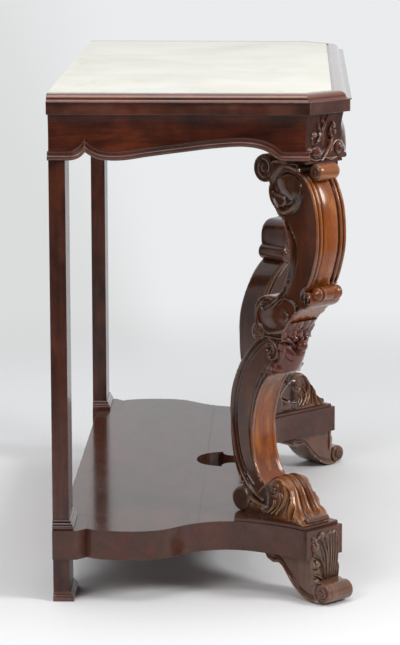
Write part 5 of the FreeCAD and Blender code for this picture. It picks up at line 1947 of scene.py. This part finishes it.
@dataclass
class Studio:
    """Pale floor, soft lamps and the camera."""

    ground: Colour = (236, 237, 238)
    ground_flecks: Colour = (220, 221, 223)
    wall: Colour = (234, 236, 237)
    # darker wall towards the picture's left, seen only by the camera: painted shade; turn gives
    # where it darkens
    wall_left: Colour = (219, 221, 221)
    turn: tuple[float, float] = (0.07, 0.17)
    dim: Colour = (76, 66, 60)
    bright: Colour = (222, 224, 226)
    sweep: tuple[float, float] = (-0.5, 0.4)
    fade: tuple[float, float] = (1.2, 2.4)
    lights: tuple[tuple[str, tuple[float, float, float], float, float], ...] = (
        ("key", (-1.4, -3.2, 2.4), 1.2, 88.0),
        ("fill", (-3.4, 2.0, 2.6), 2.0, 58.0),
        ("overhead", (-0.8, 0.0, 3.3), 2.4, 47.0))
    aim: tuple[float, float, float] = (0.0, 0.0, 0.45)
    camera_at: tuple[float, float, float] = (-5.10869, -0.15599, 1.35554)
    pitch: float = 0.18666
    yaw: float = 0.02318
    lens: float = 154.46
    sensor: float = 36.0
    shift: float = -0.0496
    floor_reach: float = 60.0
    sight: float = 200.0

    def floor(self) -> None:
        """A wide floor that keeps the table's shadow near it and is evenly pale far away."""
        mesh = bpy.data.meshes.new("studio_floor")
        mesh.from_pydata([(x * self.floor_reach, y * self.floor_reach, 0)
                          for x, y in ((-1, -1), (1, -1), (1, 1), (-1, 1))], [], [(0, 1, 2, 3)])
        web = Web(bpy.data.materials.new("studio_paper"))
        grain = web.noise(web.where(), 90.0, 2.0)
        base = web.mix(grain * 0.2, paint(*self.ground), paint(*self.ground_flecks))
        paper = web.node("ShaderNodeBsdfPrincipled", None, {"Base Color": base, "Roughness": 0.8,
                                                            "Specular IOR Level": 0.2})
        far = web.node("ShaderNodeVectorMath", {"operation": "LENGTH"}, {0: web.where()}, "Value")
        way = web.node("ShaderNodeVectorMath", {"operation": "NORMALIZE"}, {0: web.where()})
        glow = self.around(web, way, "ShaderNodeEmission")
        web.shown(web.node("ShaderNodeMixShader", None, {0: far.above(*self.fade), 1: paper,
                                                         2: glow}))
        mesh.materials.append(web.owner)
        added("studio_floor", mesh)

    def around(self, web: Web, way: Wire, kind: str) -> Wire:
        """The room's glow in a direction: pale for the camera, dimmer to the left for light.

        Its level for light rises with the first axis of the direction.  For the camera the wall is
        painted darker towards the picture's left, a painted shade.

        Args:
            web: the tree to add it to.
            way: the direction.
            kind: the shader, with a Color and a Strength.

        Returns:
            The shader.
        """
        part = web.node("ShaderNodeSeparateXYZ", None, {0: way}, "X")
        aside = web.node("ShaderNodeSeparateXYZ", None, {0: way}, "Y")
        level = web.mix(part.above(*self.sweep), paint(*self.dim), paint(*self.bright))
        camera = web.node("ShaderNodeLightPath", out="Is Camera Ray")
        # the wall as the camera sees it darkens towards the picture's left: painted shade
        wall = web.mix(aside.above(*self.turn), paint(*self.wall), paint(*self.wall_left))
        return web.node(kind, None, {"Color": web.mix(camera, level, wall), "Strength": 1.0})

    def lamps(self) -> None:
        """Soft lamps: a key at the front, a fill at the side and one overhead."""
        for name, place, size, power in self.lights:
            lamp = bpy.data.lights.new(name, "AREA")
            lamp.shape = "DISK"
            lamp.size = size
            lamp.energy = power
            made = added(name, lamp)
            made.location = place
            way = Vector(self.aim) - Vector(place)
            made.rotation_euler = way.to_track_quat("-Z", "Y").to_euler()

    def room(self) -> None:
        """A pale room that is dimmer on the side of the table's left end."""
        world = bpy.data.worlds.new("studio_room")
        web = Web(world)
        way = web.node("ShaderNodeTexCoord", out="Generated")
        web.shown(self.around(web, way, "ShaderNodeBackground"))
        bpy.context.scene.world = world

    def camera(self) -> None:
        """The camera: forward = (cos yaw cos pitch, sin yaw cos pitch, -sin pitch)."""
        lens = bpy.data.cameras.new("camera")
        lens.lens = self.lens
        lens.sensor_width = self.sensor
        lens.shift_x = self.shift
        lens.clip_end = self.sight
        made = added("camera", lens)
        made.location = self.camera_at
        forward = Vector((math.cos(self.yaw) * math.cos(self.pitch),
                          math.sin(self.yaw) * math.cos(self.pitch), -math.sin(self.pitch)))
        made.rotation_mode = "QUATERNION"
        made.rotation_quaternion = forward.to_track_quat("-Z", "Y")
        bpy.context.scene.camera = made

    def build(self) -> None:
        """Set up the studio."""
        self.floor()
        self.room()
        self.lamps()
        self.camera()
        bpy.context.scene.view_settings.view_transform = "Standard"


def main() -> None:
    """Build and dress the table, piece by piece."""
    logging.basicConfig(level=logging.INFO, format="%(message)s")
    Studio().build()
    shop = Shop({look.name: look.material() for look in LOOKS})
    plan = Plan.from_frame()
    axes = LegAxes.from_frame()
    Top(plan).build(shop)
    Frieze(plan, axes).build(shop)
    Shelf().build(shop)
    Rear().build(shop)
    ScrollLeg(axes).build(shop)
    FrontFoot(axes).build(shop)
    shop.dressed("dowels", "birch_dowel")


if __name__ == "__main__":
    main()
